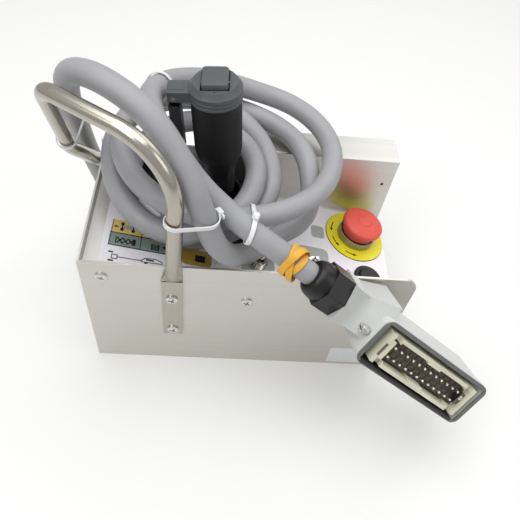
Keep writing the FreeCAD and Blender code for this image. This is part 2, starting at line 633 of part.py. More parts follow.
def build_case():
    """Build the sheet metal: tray, plates, channel, panel and legend sheet."""
    depth = "inner_depth - sheet"
    apron = "panel_height - box_length * tan(panel_slope) - sheet / cos(panel_slope) - panel_gap"
    tray = fuse("tray", [
        box("tray_floor", ("box_length", depth, "sheet"), ("0", "sheet", "0")),
        box("tray_front", ("sheet", depth, "wall_height"), ("0", "sheet", "0")),
        box("tray_apron", ("sheet", depth, apron), ("box_length - sheet", "sheet", "0")),
        box("tray_near", ("box_length", "sheet", "tray_flange"), ("0", "sheet", "0")),
        box("tray_far", ("box_length", "sheet", "tray_flange"), ("0", "inner_depth - sheet", "0")),
    ])
    node(in_box(tray), "base_tray")

    along_y = V(0, 1, 0)
    plate = fuse("near_plate", [
        box("near_low", ("box_length", "sheet", "wall_height - corner_round"), ("0", "0", "0")),
        box("near_high", ("box_length - corner_round", "sheet", "wall_height"), ("0", "0", "0")),
        rod("near_corner", "corner_round", "sheet",
            ("box_length - corner_round", "0", "wall_height - corner_round"), along_y),
    ])
    holes = [rod("near_hole_" + name, radius + " + fit_gap", "sheet * 3", (x, "-sheet", z), along_y)
             for name, radius, x, z in (
        ("left", "screw_radius", "screw_left", "screw_left_height"),
        ("right", "screw_radius", "screw_right", "screw_right_height"),
        ("low", "bolt_radius", "strap_x", "strap_screw_low"),
        ("high", "bolt_radius", "strap_x", "strap_screw_high"),
    )]
    node(in_box(cut("near_plate_holed", plate, holes)), "near_side_plate")

    far = box("far_blank", ("box_length", "sheet", "far_height"), ("0", "inner_depth", "0"))
    holes = [rod("far_hole_" + name, radius, "sheet * 3", (x, "inner_depth - sheet", z), along_y)
             for name, radius, x, z in (
        ("vent", "vent_radius", "vent_x", "vent_height"),
        ("low", "bolt_radius + fit_gap", "far_strap_x", "far_screw_low"),
        ("high", "bolt_radius + fit_gap", "far_strap_x", "far_screw_high"),
    )]
    node(in_box(cut("far_plate_holed", far, holes)), "far_side_plate")

    start = "inner_depth + sheet"
    outer = box("channel_outer",
                ("box_length - channel_left", "box_depth - inner_depth - sheet", "far_height"),
                ("channel_left", start, "0"))
    inner = box("channel_inner",
                ("box_length - channel_left - 2 * sheet", "box_depth - inner_depth - 2 * sheet",
                 "far_height - 2 * sheet"), ("channel_left + sheet", start, "sheet"))
    entry = rod("channel_entry", "box_gland_thread + fit_gap", "sheet * 3",
                ("channel_left - sheet", "box_gland_y", "box_gland_z"), V(1, 0, 0))
    node(in_box(cut("channel_shell", outer, [inner, entry])), "rear_channel")

    left = "(sheet + panel_gap) / cos(panel_slope)"
    right = "box_length / cos(panel_slope)"
    fold = "(%s + panel_flange * tan(panel_slope))" % left
    blank = fuse("panel_blank", [
        box("panel_top", (right + " - " + left, depth, "sheet"), (left, "sheet", "-sheet")),
        box("panel_near", (right + " - " + fold + " - 2 * sheet", "sheet", "panel_flange"),
            (fold, "sheet", "-panel_flange")),
        box("panel_far", (right + " - " + fold + " - 2 * sheet", "sheet", "panel_flange"),
            (fold, "inner_depth - sheet", "-panel_flange")),
    ])
    tip(blank, "panel_slope", along_y)
    in_box(blank, z="panel_height")
    places = (
        ("estop", "estop_barrel_radius + fit_gap", "estop_x", "estop_y"),
        ("toggle_low", "toggle_bush_radius + fit_gap", "toggle_low_x", "toggle_low_y"),
        ("toggle_high", "toggle_bush_radius + fit_gap", "toggle_high_x", "toggle_high_y"),
        ("horn", "horn_barrel_radius + fit_gap", "horn_x", "horn_y"),
        ("sounder", "sounder_stud + fit_gap", "sounder_x", "sounder_y"),
        ("stick", "stick_hole", "stick_x", "stick_y"),
    )
    drills = []
    for name, radius, x, y in places:
        bit = rod("panel_bit_" + name, radius, "sheet * 4", ("0", "0", "-sheet * 2"))
        drills.append(on_panel(group("panel_hole_" + name, [bit]), x, y))
    threads = []
    for name, x, z in (("left", "screw_left", "screw_left_height"),
                       ("right", "screw_right", "screw_right_height")):
        hole = rod("panel_thread_" + name, "screw_radius + fit_gap", "sheet * 4", along=along_y)
        threads.append(in_box(hole, x, "-sheet", z))
    node(cut("panel_holed", blank, drills + threads), "control_panel")

    sheet_left = "overlay_left / cos(panel_slope)"
    legend = box("legend_blank", (right + " - %s - overlay_margin" % sheet_left,
                                  "inner_depth - sheet - 2 * overlay_margin", "overlay_thick"),
                 (sheet_left, "sheet + overlay_margin", "0"))
    tip(legend, "panel_slope", along_y)
    in_box(legend, "overlay_left", "sheet + overlay_margin",
           "panel_height - overlay_left * tan(panel_slope)")
    node(cut("legend_holed", legend, drills), "legend_overlay")


def build_estop():
    """Build the stop switch: disc, housing, nut, contact block, stem and button."""
    disc_low = "overlay_thick"
    disc_top = "overlay_thick + estop_legend_thick"
    disc = turned("estop_disc", (
        ("estop_barrel_radius + fit_gap", disc_low), ("estop_legend_radius", disc_low),
        ("estop_legend_radius", disc_top), ("estop_barrel_radius + fit_gap", disc_top)))
    node(on_panel(disc, "estop_x", "estop_y"), "estop_legend_plate")
    housing = turned("estop_case", (
        ("estop_bore", "-estop_barrel_depth"), ("estop_barrel_radius", "-estop_barrel_depth"),
        ("estop_barrel_radius", disc_top), ("estop_collar_radius", disc_top),
        ("estop_collar_radius", "estop_collar_top"), ("estop_collar_bore", "estop_collar_top"),
        ("estop_collar_bore", "estop_collar_floor"), ("estop_bore", "estop_collar_floor")))
    node(on_panel(housing, "estop_x", "estop_y"), "estop_housing")
    lock = cut("estop_lock",
               hexagon("estop_hex", "lock_across", "lock_height", ("0", "0", "-sheet - lock_height")),
               [rod("estop_hex_bore", "estop_barrel_radius", "lock_height * 3",
                    ("0", "0", "-sheet - lock_height * 2"))])
    node(on_panel(lock, "estop_x", "estop_y"), "estop_locknut")
    block = group("estop_block", [box("estop_contacts", ("contact_side", "contact_side", "contact_height"),
                                      ("-contact_side / 2", "-contact_side / 2",
                                       "-estop_barrel_depth - contact_height"))])
    node(on_panel(block, "estop_x", "estop_y"), "estop_contact_block")
    stem = group("estop_plunger", [rod("estop_bar", "estop_stem_radius", "estop_stem_low + estop_stem_high",
                                       ("0", "0", "-estop_stem_low"))])
    node(on_panel(stem, "estop_x", "estop_y"), "estop_stem")
    bore = "estop_stem_radius + fit_gap"
    groove = "estop_groove"
    button = turned("estop_mushroom", (
        (bore, "estop_neck_low"), ("estop_neck_radius", "estop_neck_low"),
        ("estop_neck_radius", "estop_neck_high"),
        ("estop_button_radius - estop_under_in", "estop_rim_low"),
        ("estop_button_radius", "estop_rim_low + estop_under_up"),
        ("estop_button_radius", "estop_rim_high - estop_brow_down"),
        ("estop_button_radius - estop_brow_in", "estop_rim_high + estop_brow_up"),
        ("estop_button_radius - estop_crown_in", "estop_dome - estop_crown_down"),
        (groove + " + estop_groove_half", "estop_dome"), (groove, "estop_dome - estop_groove_deep"),
        (groove + " - estop_groove_half", "estop_dome"), ("0", "estop_dome"),
        ("0", "estop_stem_high + fit_gap"), (bore, "estop_stem_high + fit_gap")))
    node(on_panel(button, "estop_x", "estop_y"), "estop_button")


def build_toggle(which):
    """Build one toggle switch; which is the end of its node names."""
    x = "toggle_%s_x" % which
    y = "toggle_%s_y" % which
    case = box("toggle_case_" + which, ("toggle_body_length", "toggle_body_width", "toggle_body_depth"),
               ("-toggle_body_length / 2", "-toggle_body_width / 2", "-sheet - toggle_body_depth"))
    bush = rod("toggle_bush_" + which, "toggle_bush_radius", "sheet + toggle_bush_top",
               ("0", "0", "-sheet"))
    bore = rod("toggle_bore_" + which, "toggle_bush_bore", "sheet + toggle_bush_top * 2",
               ("0", "0", "-sheet"))
    body = cut("toggle_shell_" + which, fuse("toggle_blank_" + which, [case, bush]), [bore])
    node(on_panel(body, x, y), "toggle_body_" + which)
    nut = cut("toggle_nut_cut_" + which,
              hexagon("toggle_hex_" + which, "toggle_nut_across", "toggle_nut_top - overlay_thick",
                      ("0", "0", "overlay_thick")),
              [rod("toggle_nut_bore_" + which, "toggle_bush_radius", "toggle_nut_top * 3",
                   ("0", "0", "-toggle_nut_top"))])
    node(on_panel(nut, x, y), "toggle_nut_" + which)
    lever = turned("toggle_bat_" + which, (
        ("0", "toggle_pivot - toggle_ball"), ("toggle_ball * 0.7", "toggle_pivot - toggle_ball * 0.7"),
        ("toggle_ball", "toggle_pivot"), ("toggle_lever_low", "toggle_pivot + toggle_ball"),
        ("toggle_lever_low", "toggle_bush_top + toggle_root"),
        ("toggle_lever_high", "toggle_lever_top - toggle_taper"),
        ("toggle_lever_high", "toggle_lever_top - toggle_tip"),
        ("toggle_lever_high * 0.6", "toggle_lever_top"),
        ("0", "toggle_lever_top")))
    reach = "(toggle_bush_bore - fit_gap)"
    pin = rod("toggle_pin_" + which, "toggle_pin_radius", "2 * " + reach,
              ("0", "-" + reach, "toggle_pivot"), V(0, 1, 0))
    node(on_panel(fuse("toggle_arm_" + which, [lever, pin]), x, y), "toggle_lever_" + which)


def build_buttons():
    """Build the horn button and the alarm sounder."""
    seat = "overlay_thick"
    case = turned("horn_case", (
        ("0", "-horn_barrel_depth"), ("horn_barrel_radius", "-horn_barrel_depth"),
        ("horn_barrel_radius", seat),
        ("horn_bezel_radius", seat), ("horn_bezel_radius", "horn_bezel_top - horn_bevel"),
        ("horn_bezel_radius - horn_bevel", "horn_bezel_top"), ("horn_bore", "horn_bezel_top"),
        ("horn_bore", "horn_floor - horn_barrel_depth"), ("0", "horn_floor - horn_barrel_depth")))
    node(on_panel(case, "horn_x", "horn_y"), "horn_housing")
    cap = turned("horn_push", (
        ("0", "-horn_cap_low"), ("horn_cap_radius", "-horn_cap_low"),
        ("horn_cap_radius", "horn_cap_top - horn_bevel"),
        ("horn_cap_radius - horn_bevel", "horn_cap_top"), ("0", "horn_cap_top")))
    node(on_panel(cap, "horn_x", "horn_y"), "horn_cap")
    lock = cut("horn_lock",
               hexagon("horn_hex", "lock_across", "lock_height", ("0", "0", "-sheet - lock_height")),
               [rod("horn_hex_bore", "horn_barrel_radius", "lock_height * 3",
                    ("0", "0", "-sheet - lock_height * 2"))])
    node(on_panel(lock, "horn_x", "horn_y"), "horn_locknut")
    rib = "sounder_top / 7"
    outline = [("0", "-sounder_stud_depth"), ("sounder_stud", "-sounder_stud_depth"),
               ("sounder_stud", seat)]
    for step in range(7):
        radius = "sounder_radius" if step % 2 == 0 else "sounder_waist"
        outline.append((radius, "%s + %s * %d" % (seat, rib, step)))
        outline.append((radius, "%s + %s * %d" % (seat, rib, step + 1)))
    outline.append(("0", "%s + sounder_top" % seat))
    node(on_panel(turned("sounder_case", outline), "sounder_x", "sounder_y"), "alarm_sounder")


def build_joystick():
    """Build the joystick from its wedge and case up to the rocker and trigger."""
    half = "stick_base_side / 2"
    wedge = box("wedge_block", ("stick_base_side", "stick_base_side", "stick_base_top * 4"),
                ("-" + half, "-" + half, "-stick_base_top * 3"))
    open_wedge = on_stick(cut("wedge_open", wedge,
                              [rod("wedge_bore", "stick_base_bore", "stick_base_top * 6",
                                   ("0", "0", "-stick_base_top * 4"))]))
    below = group("below_legend", [box("below_block", ("box_length", "box_length", "box_length"),
                                       ("-box_length / 2", "-box_length / 2",
                                        "overlay_thick - box_length"))])
    node(cut("wedge", open_wedge, [on_panel(below, "stick_x", "stick_y")]), "joystick_base")

    root = "boot_low_radius - boot_lip"
    pleat = "(boot_top - boot_foot_top) / %d" % BOOT_PLEATS
    span = "(%s - boot_top_radius) / %d" % (root, BOOT_PLEATS)
    outer = [("boot_low_radius", "stick_base_top"), ("boot_low_radius", "boot_foot_top")]
    inner = []
    for step in range(BOOT_PLEATS + 1):
        radius = "%s - %s * %d" % (root, span, step)
        height = "boot_foot_top + %s * %d" % (pleat, step)
        bulge = "" if step % 2 == 0 else " + boot_bulge"
        outer.append((radius + bulge, height))
        inner.append((radius + bulge + " - boot_wall", height))
    inner[0] = (root + " - boot_wall", "stick_base_top")
    node(on_stick(turned("boot", outer + inner[::-1])), "joystick_boot")

    side = "stick_case_side"
    room = "(stick_case_side - 2 * stick_case_wall)"
    shell = on_panel(cut("case_shell", box("case_block", (side, side, "stick_case_depth"),
                                           ("-%s / 2" % side, "-%s / 2" % side,
                                            "-sheet - stick_case_depth")),
                         [box("case_room", (room, room, "stick_case_depth"),
                              ("-%s / 2" % room, "-%s / 2" % room,
                               "-sheet - stick_case_depth + stick_case_wall"))]),
                     "stick_x", "stick_y")
    along_y = V(0, 1, 0)
    drill = on_stick(group("pivot_drill", [rod("pivot_drill_bar", "pivot_radius", "stick_case_side * 2",
                                               ("0", "-stick_case_side", "-pivot_depth"), along_y)]))
    node(cut("case", shell, [drill]), "joystick_housing")
    pin = group("pivot",
                [rod("pivot_bar", "pivot_radius", side, ("0", "-%s / 2" % side, "-pivot_depth"), along_y)])
    node(on_stick(pin), "pivot_pin")
    shaft = cut("shaft",
                rod("shaft_bar", "shaft_radius", "shaft_low + shaft_high", ("0", "0", "-shaft_low")),
                [rod("shaft_hole", "pivot_radius + fit_gap", "shaft_radius * 4",
                     ("0", "-shaft_radius * 2", "-pivot_depth"), along_y)])
    node(on_stick(shaft), "joystick_shaft")
    grip = turned("grip", (
        ("shaft_radius", "grip_low"), ("grip_neck_radius", "grip_low"),
        ("grip_neck_radius", "grip_neck_top"),
        ("grip_shoulder_radius", "grip_shoulder"), ("grip_high_radius", "grip_high"), ("0", "grip_high"),
        ("0", "shaft_high"), ("shaft_radius", "shaft_high")))
    node(on_stick(grip), "joystick_grip")

    crown = turned("crown", (
        ("0", "grip_high"), ("cap_radius", "grip_high"),
        ("cap_radius", "cap_groove_low - cap_groove"), ("cap_radius - cap_groove", "cap_groove_low"),
        ("cap_radius", "cap_groove_low + cap_groove"), ("cap_radius", "cap_groove_high - cap_groove"),
        ("cap_radius - cap_groove", "cap_groove_high"), ("cap_radius", "cap_groove_high + cap_groove"),
        ("cap_radius", "cap_rim - cap_bevel"), ("cap_radius - cap_bevel", "cap_rim"),
        ("cap_top_radius", "cap_top"), ("0", "cap_top")))
    lug = box("lug", ("trigger_out", "lug_width", "lug_high - grip_high"),
              ("-trigger_out", "-lug_width / 2", "grip_high"))
    slot = box("lug_room", ("trigger_out", "lug_slot", "box_length"),
               ("-lug_slot_deep - trigger_out", "-lug_slot / 2", "grip_low"))
    pocket_side = "(rocker_side + 2 * rocker_gap)"
    pocket_deep = "(rocker_deep + 2 * rocker_gap)"
    pocket = box("rocker_room", (pocket_side, pocket_deep, "cap_top"),
                 ("-%s / 2" % pocket_side, "-%s / 2" % pocket_deep, "rocker_floor"))
    rocker_axle = ("-rocker_pin_length / 2", "0", "rocker_pivot")
    axle_hole = rod("axle_hole", "rocker_pin_radius", "rocker_pin_length", rocker_axle, V(1, 0, 0))
    middle = "-trigger_out + trigger_thick / 2"
    pin_from = (middle, "-lug_width / 2", "trigger_pivot")
    lug_hole = rod("lug_hole", "trigger_pin_radius", "lug_width", pin_from, along_y)
    cap = cut("cap", fuse("cap_blank", [crown, lug]), [slot, pocket, axle_hole, lug_hole])
    node(on_stick(cap), "joystick_cap")
    node(on_stick(group("rocker_axle",
                        [rod("rocker_bar", "rocker_pin_radius", "rocker_pin_length", rocker_axle,
                             V(1, 0, 0))])),
         "rocker_pin")
    key = box("rocker_key", ("rocker_side", "rocker_deep", "rocker_high - rocker_low"),
              ("-rocker_side / 2", "-rocker_deep / 2", "rocker_low"))
    key_hole = rod("rocker_hole", "rocker_pin_radius + fit_gap", "rocker_pin_length", rocker_axle,
                   V(1, 0, 0))
    node(on_stick(cut("rocker", key, [key_hole])), "steer_rocker")
    node(on_stick(group("trigger_axle",
                        [rod("trigger_bar", "trigger_pin_radius", "lug_width", pin_from, along_y)])),
         "trigger_pin")
    lever = fuse("trigger_blank", [
        box("trigger_face", ("trigger_thick", "trigger_width", "trigger_high - trigger_low"),
            ("-trigger_out", "-trigger_width / 2", "trigger_low")),
        box("trigger_ear", ("trigger_thick", "trigger_ear_width", "trigger_ear_top - trigger_low"),
            ("-trigger_out", "-trigger_ear_width / 2", "trigger_low")),
    ])
    ear_hole = rod("ear_hole", "trigger_pin_radius + fit_gap", "lug_width", pin_from, along_y)
    node(on_stick(cut("trigger", lever, [ear_hole])), "enable_trigger")


def build_fixings():
    """Build the carry handle, its screws, the panel screws and the circuit board."""
    outside = SIZE["inner_depth"] + SIZE["sheet"]
    corners = [V(*point) for point in HANDLE_CORNERS]
    for rise in (2, 1):
        height = SIZE["far_strap_top"] + rise * SIZE["far_strap_squash"]
        corners.append(V(SIZE["far_strap_x"], outside + SIZE["far_strap_off"], height))
    wire, radii = bent_path(corners, lambda i, run, half: HANDLE_BENDS[i - 1])
    radius = SIZE["handle_diameter"] / 2
    bar = tube(wire, corners[0], corners[1], radius)
    flat = SIZE["strap_thick"] / 2
    wide = SIZE["strap_width"] / 2
    inset = SIZE["strap_inset"]
    pieces = [bar]
    for end, toward, x, y, top, bottom in (
            (corners[0], corners[1] - corners[0], SIZE["strap_x"], -flat, SIZE["strap_top"],
             SIZE["strap_bottom"]),
            (corners[-1], UP, SIZE["far_strap_x"], outside + flat, SIZE["far_strap_top"],
             SIZE["far_strap_bottom"])):
        ring = Part.Circle(end, toward, radius).toShape()
        oval = Part.Ellipse(V(x + wide - inset, y, top), V(x, y + flat - inset, top),
                            V(x, y, top)).toShape()
        pieces.append(Part.makeLoft([Part.Wire(ring), Part.Wire(oval)], True, True))
        pieces.append(Part.makeBox(2 * wide, 2 * flat, top - bottom, V(x - wide, y - flat, bottom)))
    handle = pieces[0].multiFuse(pieces[1:])
    for x, y, heights in ((SIZE["strap_x"], -2 * flat, ("strap_screw_low", "strap_screw_high")),
                          (SIZE["far_strap_x"], outside, ("far_screw_low", "far_screw_high"))):
        for height in heights:
            hole = Part.makeCylinder(SIZE["bolt_radius"] + SIZE["fit_gap"], 6 * flat,
                                     V(x, y - 2 * flat, SIZE[height]), V(0, 1, 0))
            handle = handle.cut(hole)
    node(solid("handle", handle.removeSplitter()), "carry_handle")
    print("handle bends", [round(r, 1) for r in radii])

    along = V(0, 1, 0)
    against = V(0, -1, 0)
    near = []
    far = []
    nuts = []
    for name, x, z in (("low", "strap_x", "strap_screw_low"), ("high", "strap_x", "strap_screw_high")):
        near.append(fuse("bolt_" + name, [
            rod("bolt_head_" + name, "bolt_head_radius", "bolt_head_height", (x, "-strap_thick", z),
                against),
            rod("bolt_shank_" + name, "bolt_radius", "strap_thick + sheet + bolt_nut_height",
                (x, "-strap_thick", z), along)]))
        nuts.append(cut("nut_" + name,
                        hexagon("nut_hex_" + name, "bolt_nut_across", "bolt_nut_height", (x, "sheet", z),
                                along),
                        [rod("nut_bore_" + name, "bolt_radius", "bolt_nut_height * 3", (x, "-sheet", z),
                             along)]))
    skin = "inner_depth + sheet + strap_thick"
    for name, x, z in (("far_low", "far_strap_x", "far_screw_low"),
                       ("far_high", "far_strap_x", "far_screw_high")):
        far.append(fuse("bolt_" + name, [
            rod("bolt_head_" + name, "bolt_head_radius", "bolt_head_height", (x, skin, z), along),
            rod("bolt_shank_" + name, "bolt_radius", "strap_thick + sheet + bolt_nut_height", (x, skin, z),
                against)]))
        nuts.append(cut("nut_" + name,
                        hexagon("nut_hex_" + name, "bolt_nut_across", "bolt_nut_height",
                                (x, "inner_depth", z), against),
                        [rod("nut_bore_" + name, "bolt_radius", "bolt_nut_height * 3",
                             (x, "inner_depth + sheet * 2", z), against)]))
    node(in_box(group("bolts", near + far)), "handle_screws")
    node(in_box(group("nuts", nuts)), "handle_nuts")

    screws = []
    for name, x, z in (("left", "screw_left", "screw_left_height"),
                       ("right", "screw_right", "screw_right_height")):
        screws.append(fuse("screw_" + name, [
            rod("screw_head_" + name, "screw_head_radius", "screw_head_height", (x, "0", z), against),
            rod("screw_shank_" + name, "screw_radius", "screw_length", (x, "0", z), along)]))
    node(in_box(group("screws", screws)), "panel_screws")

    board = box("board", ("board_length", "board_width", "board_thick"),
                ("board_x - board_length / 2", "board_y - board_width / 2", "sheet + post_height"))
    node(in_box(group("board_sheet", [board])), "circuit_board")
    posts = []
    for name, side_x, side_y in (("a", "-", "-"), ("b", "-", "+"), ("c", "+", "-"), ("d", "+", "+")):
        posts.append(rod("post_" + name, "post_radius", "post_height",
                         ("board_x %s (board_length / 2 - post_inset)" % side_x,
                          "board_y %s (board_width / 2 - post_inset)" % side_y, "sheet")))
    node(in_box(group("posts", posts)), "board_posts")


def build_box_gland():
    """Build the gland on the channel that the cable's far end goes into."""
    along = V(1, 0, 0)
    axis = ("box_gland_y", "box_gland_z")
    face = "channel_left"
    bore = "cable_diameter / 2 + fit_gap"
    body = cut("box_gland", fuse("box_gland_blank", [
        hexagon("box_gland_six", "box_gland_across", "box_gland_hex", (face + " - box_gland_hex",) + axis,
                along),
        rod("box_gland_screw", "box_gland_thread", "box_gland_hex + sheet + box_gland_inside",
            (face + " - box_gland_hex",) + axis, along),
    ]), [rod("box_gland_bore", bore, "box_length", (face + " - box_length / 2",) + axis, along)])
    node(in_box(body), "box_gland_body")
    start = face + " - box_gland_hex - box_gland_cap"
    mouth = DOC.addObject("Part::Cone", "box_gland_mouth")
    bind(mouth, Radius1="box_gland_mouth_radius", Radius2="box_gland_cap_radius", Height="box_gland_cap")
    mouth.Placement = FreeCAD.Placement(V(), FreeCAD.Rotation(UP, along))
    place(mouth, start, *axis)
    cap = cut("box_gland_cap_nut", mouth,
              [rod("box_gland_cap_bore", "cable_diameter / 2 - cable_squeeze", "box_length",
                   (face + " - box_length / 2",) + axis, along)])
    node(in_box(cap), "box_gland_nut")
    lock = cut("box_gland_lock",
               hexagon("box_gland_lock_hex", "gland_lock_across", "gland_lock_height",
                       (face + " + sheet",) + axis, along),
               [rod("box_gland_lock_bore", "box_gland_thread", "gland_lock_height * 3", (face,) + axis,
                    along)])
    node(in_box(lock), "box_gland_locknut")


def rounded(name, base, radius, bottom=False):
    """Return a block with its upright edges rounded, and its bottom ones too if wanted."""
    obj = DOC.addObject("Part::Fillet", name)
    obj.Base = base
    DOC.recompute()
    low = base.Shape.BoundBox.ZMin
    picked = []
    for i, edge in enumerate(base.Shape.Edges, start=1):
        heights = [vertex.Z for vertex in edge.Vertexes]
        if max(heights) - min(heights) > 1 or (bottom and max(heights) < low + 1):
            picked.append((i, radius, radius))
    obj.Edges = picked
    return obj


def rim_block(name, long, wide, low, high):
    """Return a block centred on the rim's axis between two depths below the rim."""
    return box(name, (long, wide, "(%s) - (%s)" % (low, high)),
               ("-(%s) / 2" % long, "-(%s) / 2" % wide, "-(%s)" % low))


def build_hood():
    """Build the connector's hood with its slanted entry, its gasket and its locking pegs."""
    room_long = "hood_length - 2 * hood_wall"
    room_wide = "hood_width - 2 * hood_wall"
    shell = rounded("hood_rounded",
                    rim_block("hood_block", "hood_length", "hood_width", "hood_depth", "gasket_depth"),
                    SIZE["hood_round"], True)
    rim = rounded("hood_rim",
                  rim_block("rim_block", "rim_length", "rim_width", "rim_depth", "gasket_depth"),
                  SIZE["rim_round"])
    end = "-hood_length / 2 - entry_long"
    neck = "entry_neck_side / 2"
    back = "entry_z - hood_depth + hood_round / 2"
    along_x = FreeCAD.Rotation(V(0, 1, 0), V(1, 0, 0), V(0, 0, 1), "ZYX")
    entry = DOC.addObject("Part::Wedge", "hood_entry")
    bind(entry, Xmin="-entry_side / 2", Xmax="entry_side / 2",
         Zmin="-entry_side / 2", Zmax="entry_side / 2",
         X2min="-" + neck, X2max=neck, Z2min=back, Z2max="entry_neck_front", Ymin="0", Ymax="entry_neck")
    wall = DOC.addObject("Part::Wedge", "hood_end_wall")
    bind(wall, Xmin="-" + neck, Xmax=neck, Zmin=back, Zmax="entry_neck_front",
         X2min="-hood_width / 2 - entry_y + entry_step", X2max="hood_width / 2 - entry_y - entry_step",
         Z2min=back, Z2max="entry_z - rim_depth - entry_step", Ymin="0",
         Ymax="entry_long - entry_neck + hood_round")
    for wedge, x in ((entry, end), (wall, end + " + entry_neck")):
        wedge.Placement = FreeCAD.Placement(V(), along_x)
        place(wedge, x, "entry_y", "-entry_z")
    room = rim_block("hood_room", room_long, room_wide, "hood_depth - hood_wall", "0")
    way_out = rod("hood_cable_way", "cable_diameter / 2 + fit_gap", "hood_length + entry_long",
                  ("0", "entry_y", "-entry_z"), V(-1, 0, 0))
    bore = rod("hood_bore", "cable_diameter / 2 + hood_gland_bore_wall", "hood_length",
               (end + " + entry_neck", "entry_y", "-entry_z"), V(-1, 0, 0))
    holes = []
    pegs = []
    for name, way in (("left", -1), ("right", 1)):
        start = ("%d * (rim_length / 2 - hood_wall)" % way, "0", "-peg_z")
        holes.append(rod("peg_hole_" + name, "peg_radius", "hood_wall * 4", start, V(way, 0, 0)))
        pegs.append(rod("peg_" + name, "peg_radius", "hood_wall + peg_out", start, V(way, 0, 0)))
    node(on_hood(cut("hood", fuse("hood_blank", [shell, entry, wall, rim]), [room, way_out, bore] + holes)),
         "connector_hood")
    node(on_hood(group("pegs", pegs)), "locking_pegs")
    blank = rim_block("gasket_block", "rim_length - 2 * gasket_lip", "rim_width - 2 * gasket_lip",
                      "gasket_depth", "0")
    seal = cut("gasket", rounded("gasket_blank", blank, SIZE["gasket_round"]),
               [rim_block("gasket_room", room_long, room_wide, "rim_depth", "-rim_depth")])
    node(on_hood(seal), "hood_gasket")


def build_contacts():
    """Build the contact insert with its stepped walls, its pins and the frame that holds it."""
    step = "2 * insert_step"
    above = "-insert_low"
    room_wide = "insert_width - 2 * insert_wall"
    block = cut("insert_blank",
                rim_block("insert_block", "insert_length", "insert_width", "insert_low", "insert_high"),
                [rim_block("insert_room", "insert_length - 2 * insert_wall", "%s - %s" % (room_wide, step),
                           "insert_floor", above)])
    tools = []
    for name, way in (("left", -1), ("right", 1)):
        bay = rim_block("insert_bay_" + name, "insert_bay", room_wide, "insert_floor", above)
        bay.setExpression("Placement.Base.x", ex("%d * insert_bay_at - insert_bay / 2" % way))
        gap = rim_block("insert_gap_" + name, "insert_gap", "insert_width * 2",
                        "insert_high + insert_gap_deep", above)
        gap.setExpression("Placement.Base.x", ex("%d * insert_gap_at - insert_gap / 2" % way))
        tools += [bay, gap]
    pins = []
    for row, side in (("a", -1), ("b", 1)):
        for col in range(int(SIZE["pin_rows"])):
            at = ("(%d - (pin_rows - 1) / 2) * pin_pitch" % col, "%d * pin_row_gap / 2" % side,
                  "-insert_low")
            pins.append(rod("pin_%s_%d" % (row, col), "pin_radius", "insert_low - pin_top", at))
            tools.append(rod("pin_hole_%s_%d" % (row, col), "pin_radius", "insert_low", at))
    node(on_hood(cut("insert", block, tools)), "connector_insert")
    node(on_hood(group("pins", pins)), "contact_pins")
    ledge = cut("frame",
                rim_block("frame_blank", "hood_length - 2 * hood_wall", "hood_width - 2 * hood_wall",
                          "insert_low", "insert_floor"),
                [rim_block("frame_room", "insert_length", "insert_width", "insert_low + sheet",
                           "insert_floor - sheet")])
    node(on_hood(ledge), "insert_frame")


def build_hood_gland():
    """Build the gland that the cable leaves the hood through."""
    out = V(-1, 0, 0)
    end = "-hood_length / 2 - entry_long"
    axis = ("entry_y", "-entry_z")
    body = cut("hood_gland", fuse("hood_gland_blank", [
        hexagon("hood_gland_six", "hood_gland_across", "hood_gland_hex", (end,) + axis, out),
        rod("hood_gland_screw", "cable_diameter / 2 + hood_gland_bore_wall", "entry_neck",
            (end + " + entry_neck",) + axis, out),
    ]), [rod("hood_gland_bore", "cable_diameter / 2 + fit_gap", "box_length", ("0",) + axis, out)])
    node(on_hood(body), "hood_gland_body")
    outline = [("0", "0")]
    swell = "(hood_gland_cap_radius - hood_gland_mouth_radius)"
    for turn in range(0, 91, 15):
        outline.append(("hood_gland_mouth_radius + %s * cos(%d)" % (swell, turn),
                        "hood_gland_grip + (hood_gland_cap - hood_gland_grip) * sin(%d)" % turn))
    outline.insert(1, (outline[1][0], "0"))
    outline.append(("0", "hood_gland_cap"))
    nose = turned("hood_gland_nose", outline)
    nose.Placement = FreeCAD.Placement(V(), FreeCAD.Rotation(UP, out))
    place(nose, end + " - hood_gland_hex", *axis)
    dome = fuse("hood_gland_dome", [
        hexagon("hood_gland_nut_six", "hood_gland_across", "hood_gland_grip",
                (end + " - hood_gland_hex",) + axis, out), nose])
    bore = rod("hood_gland_cap_bore", "cable_diameter / 2 - cable_squeeze", "box_length", ("0",) + axis,
               out)
    node(on_hood(cut("hood_gland_cap_nut", dome, [bore])), "hood_gland_nut")


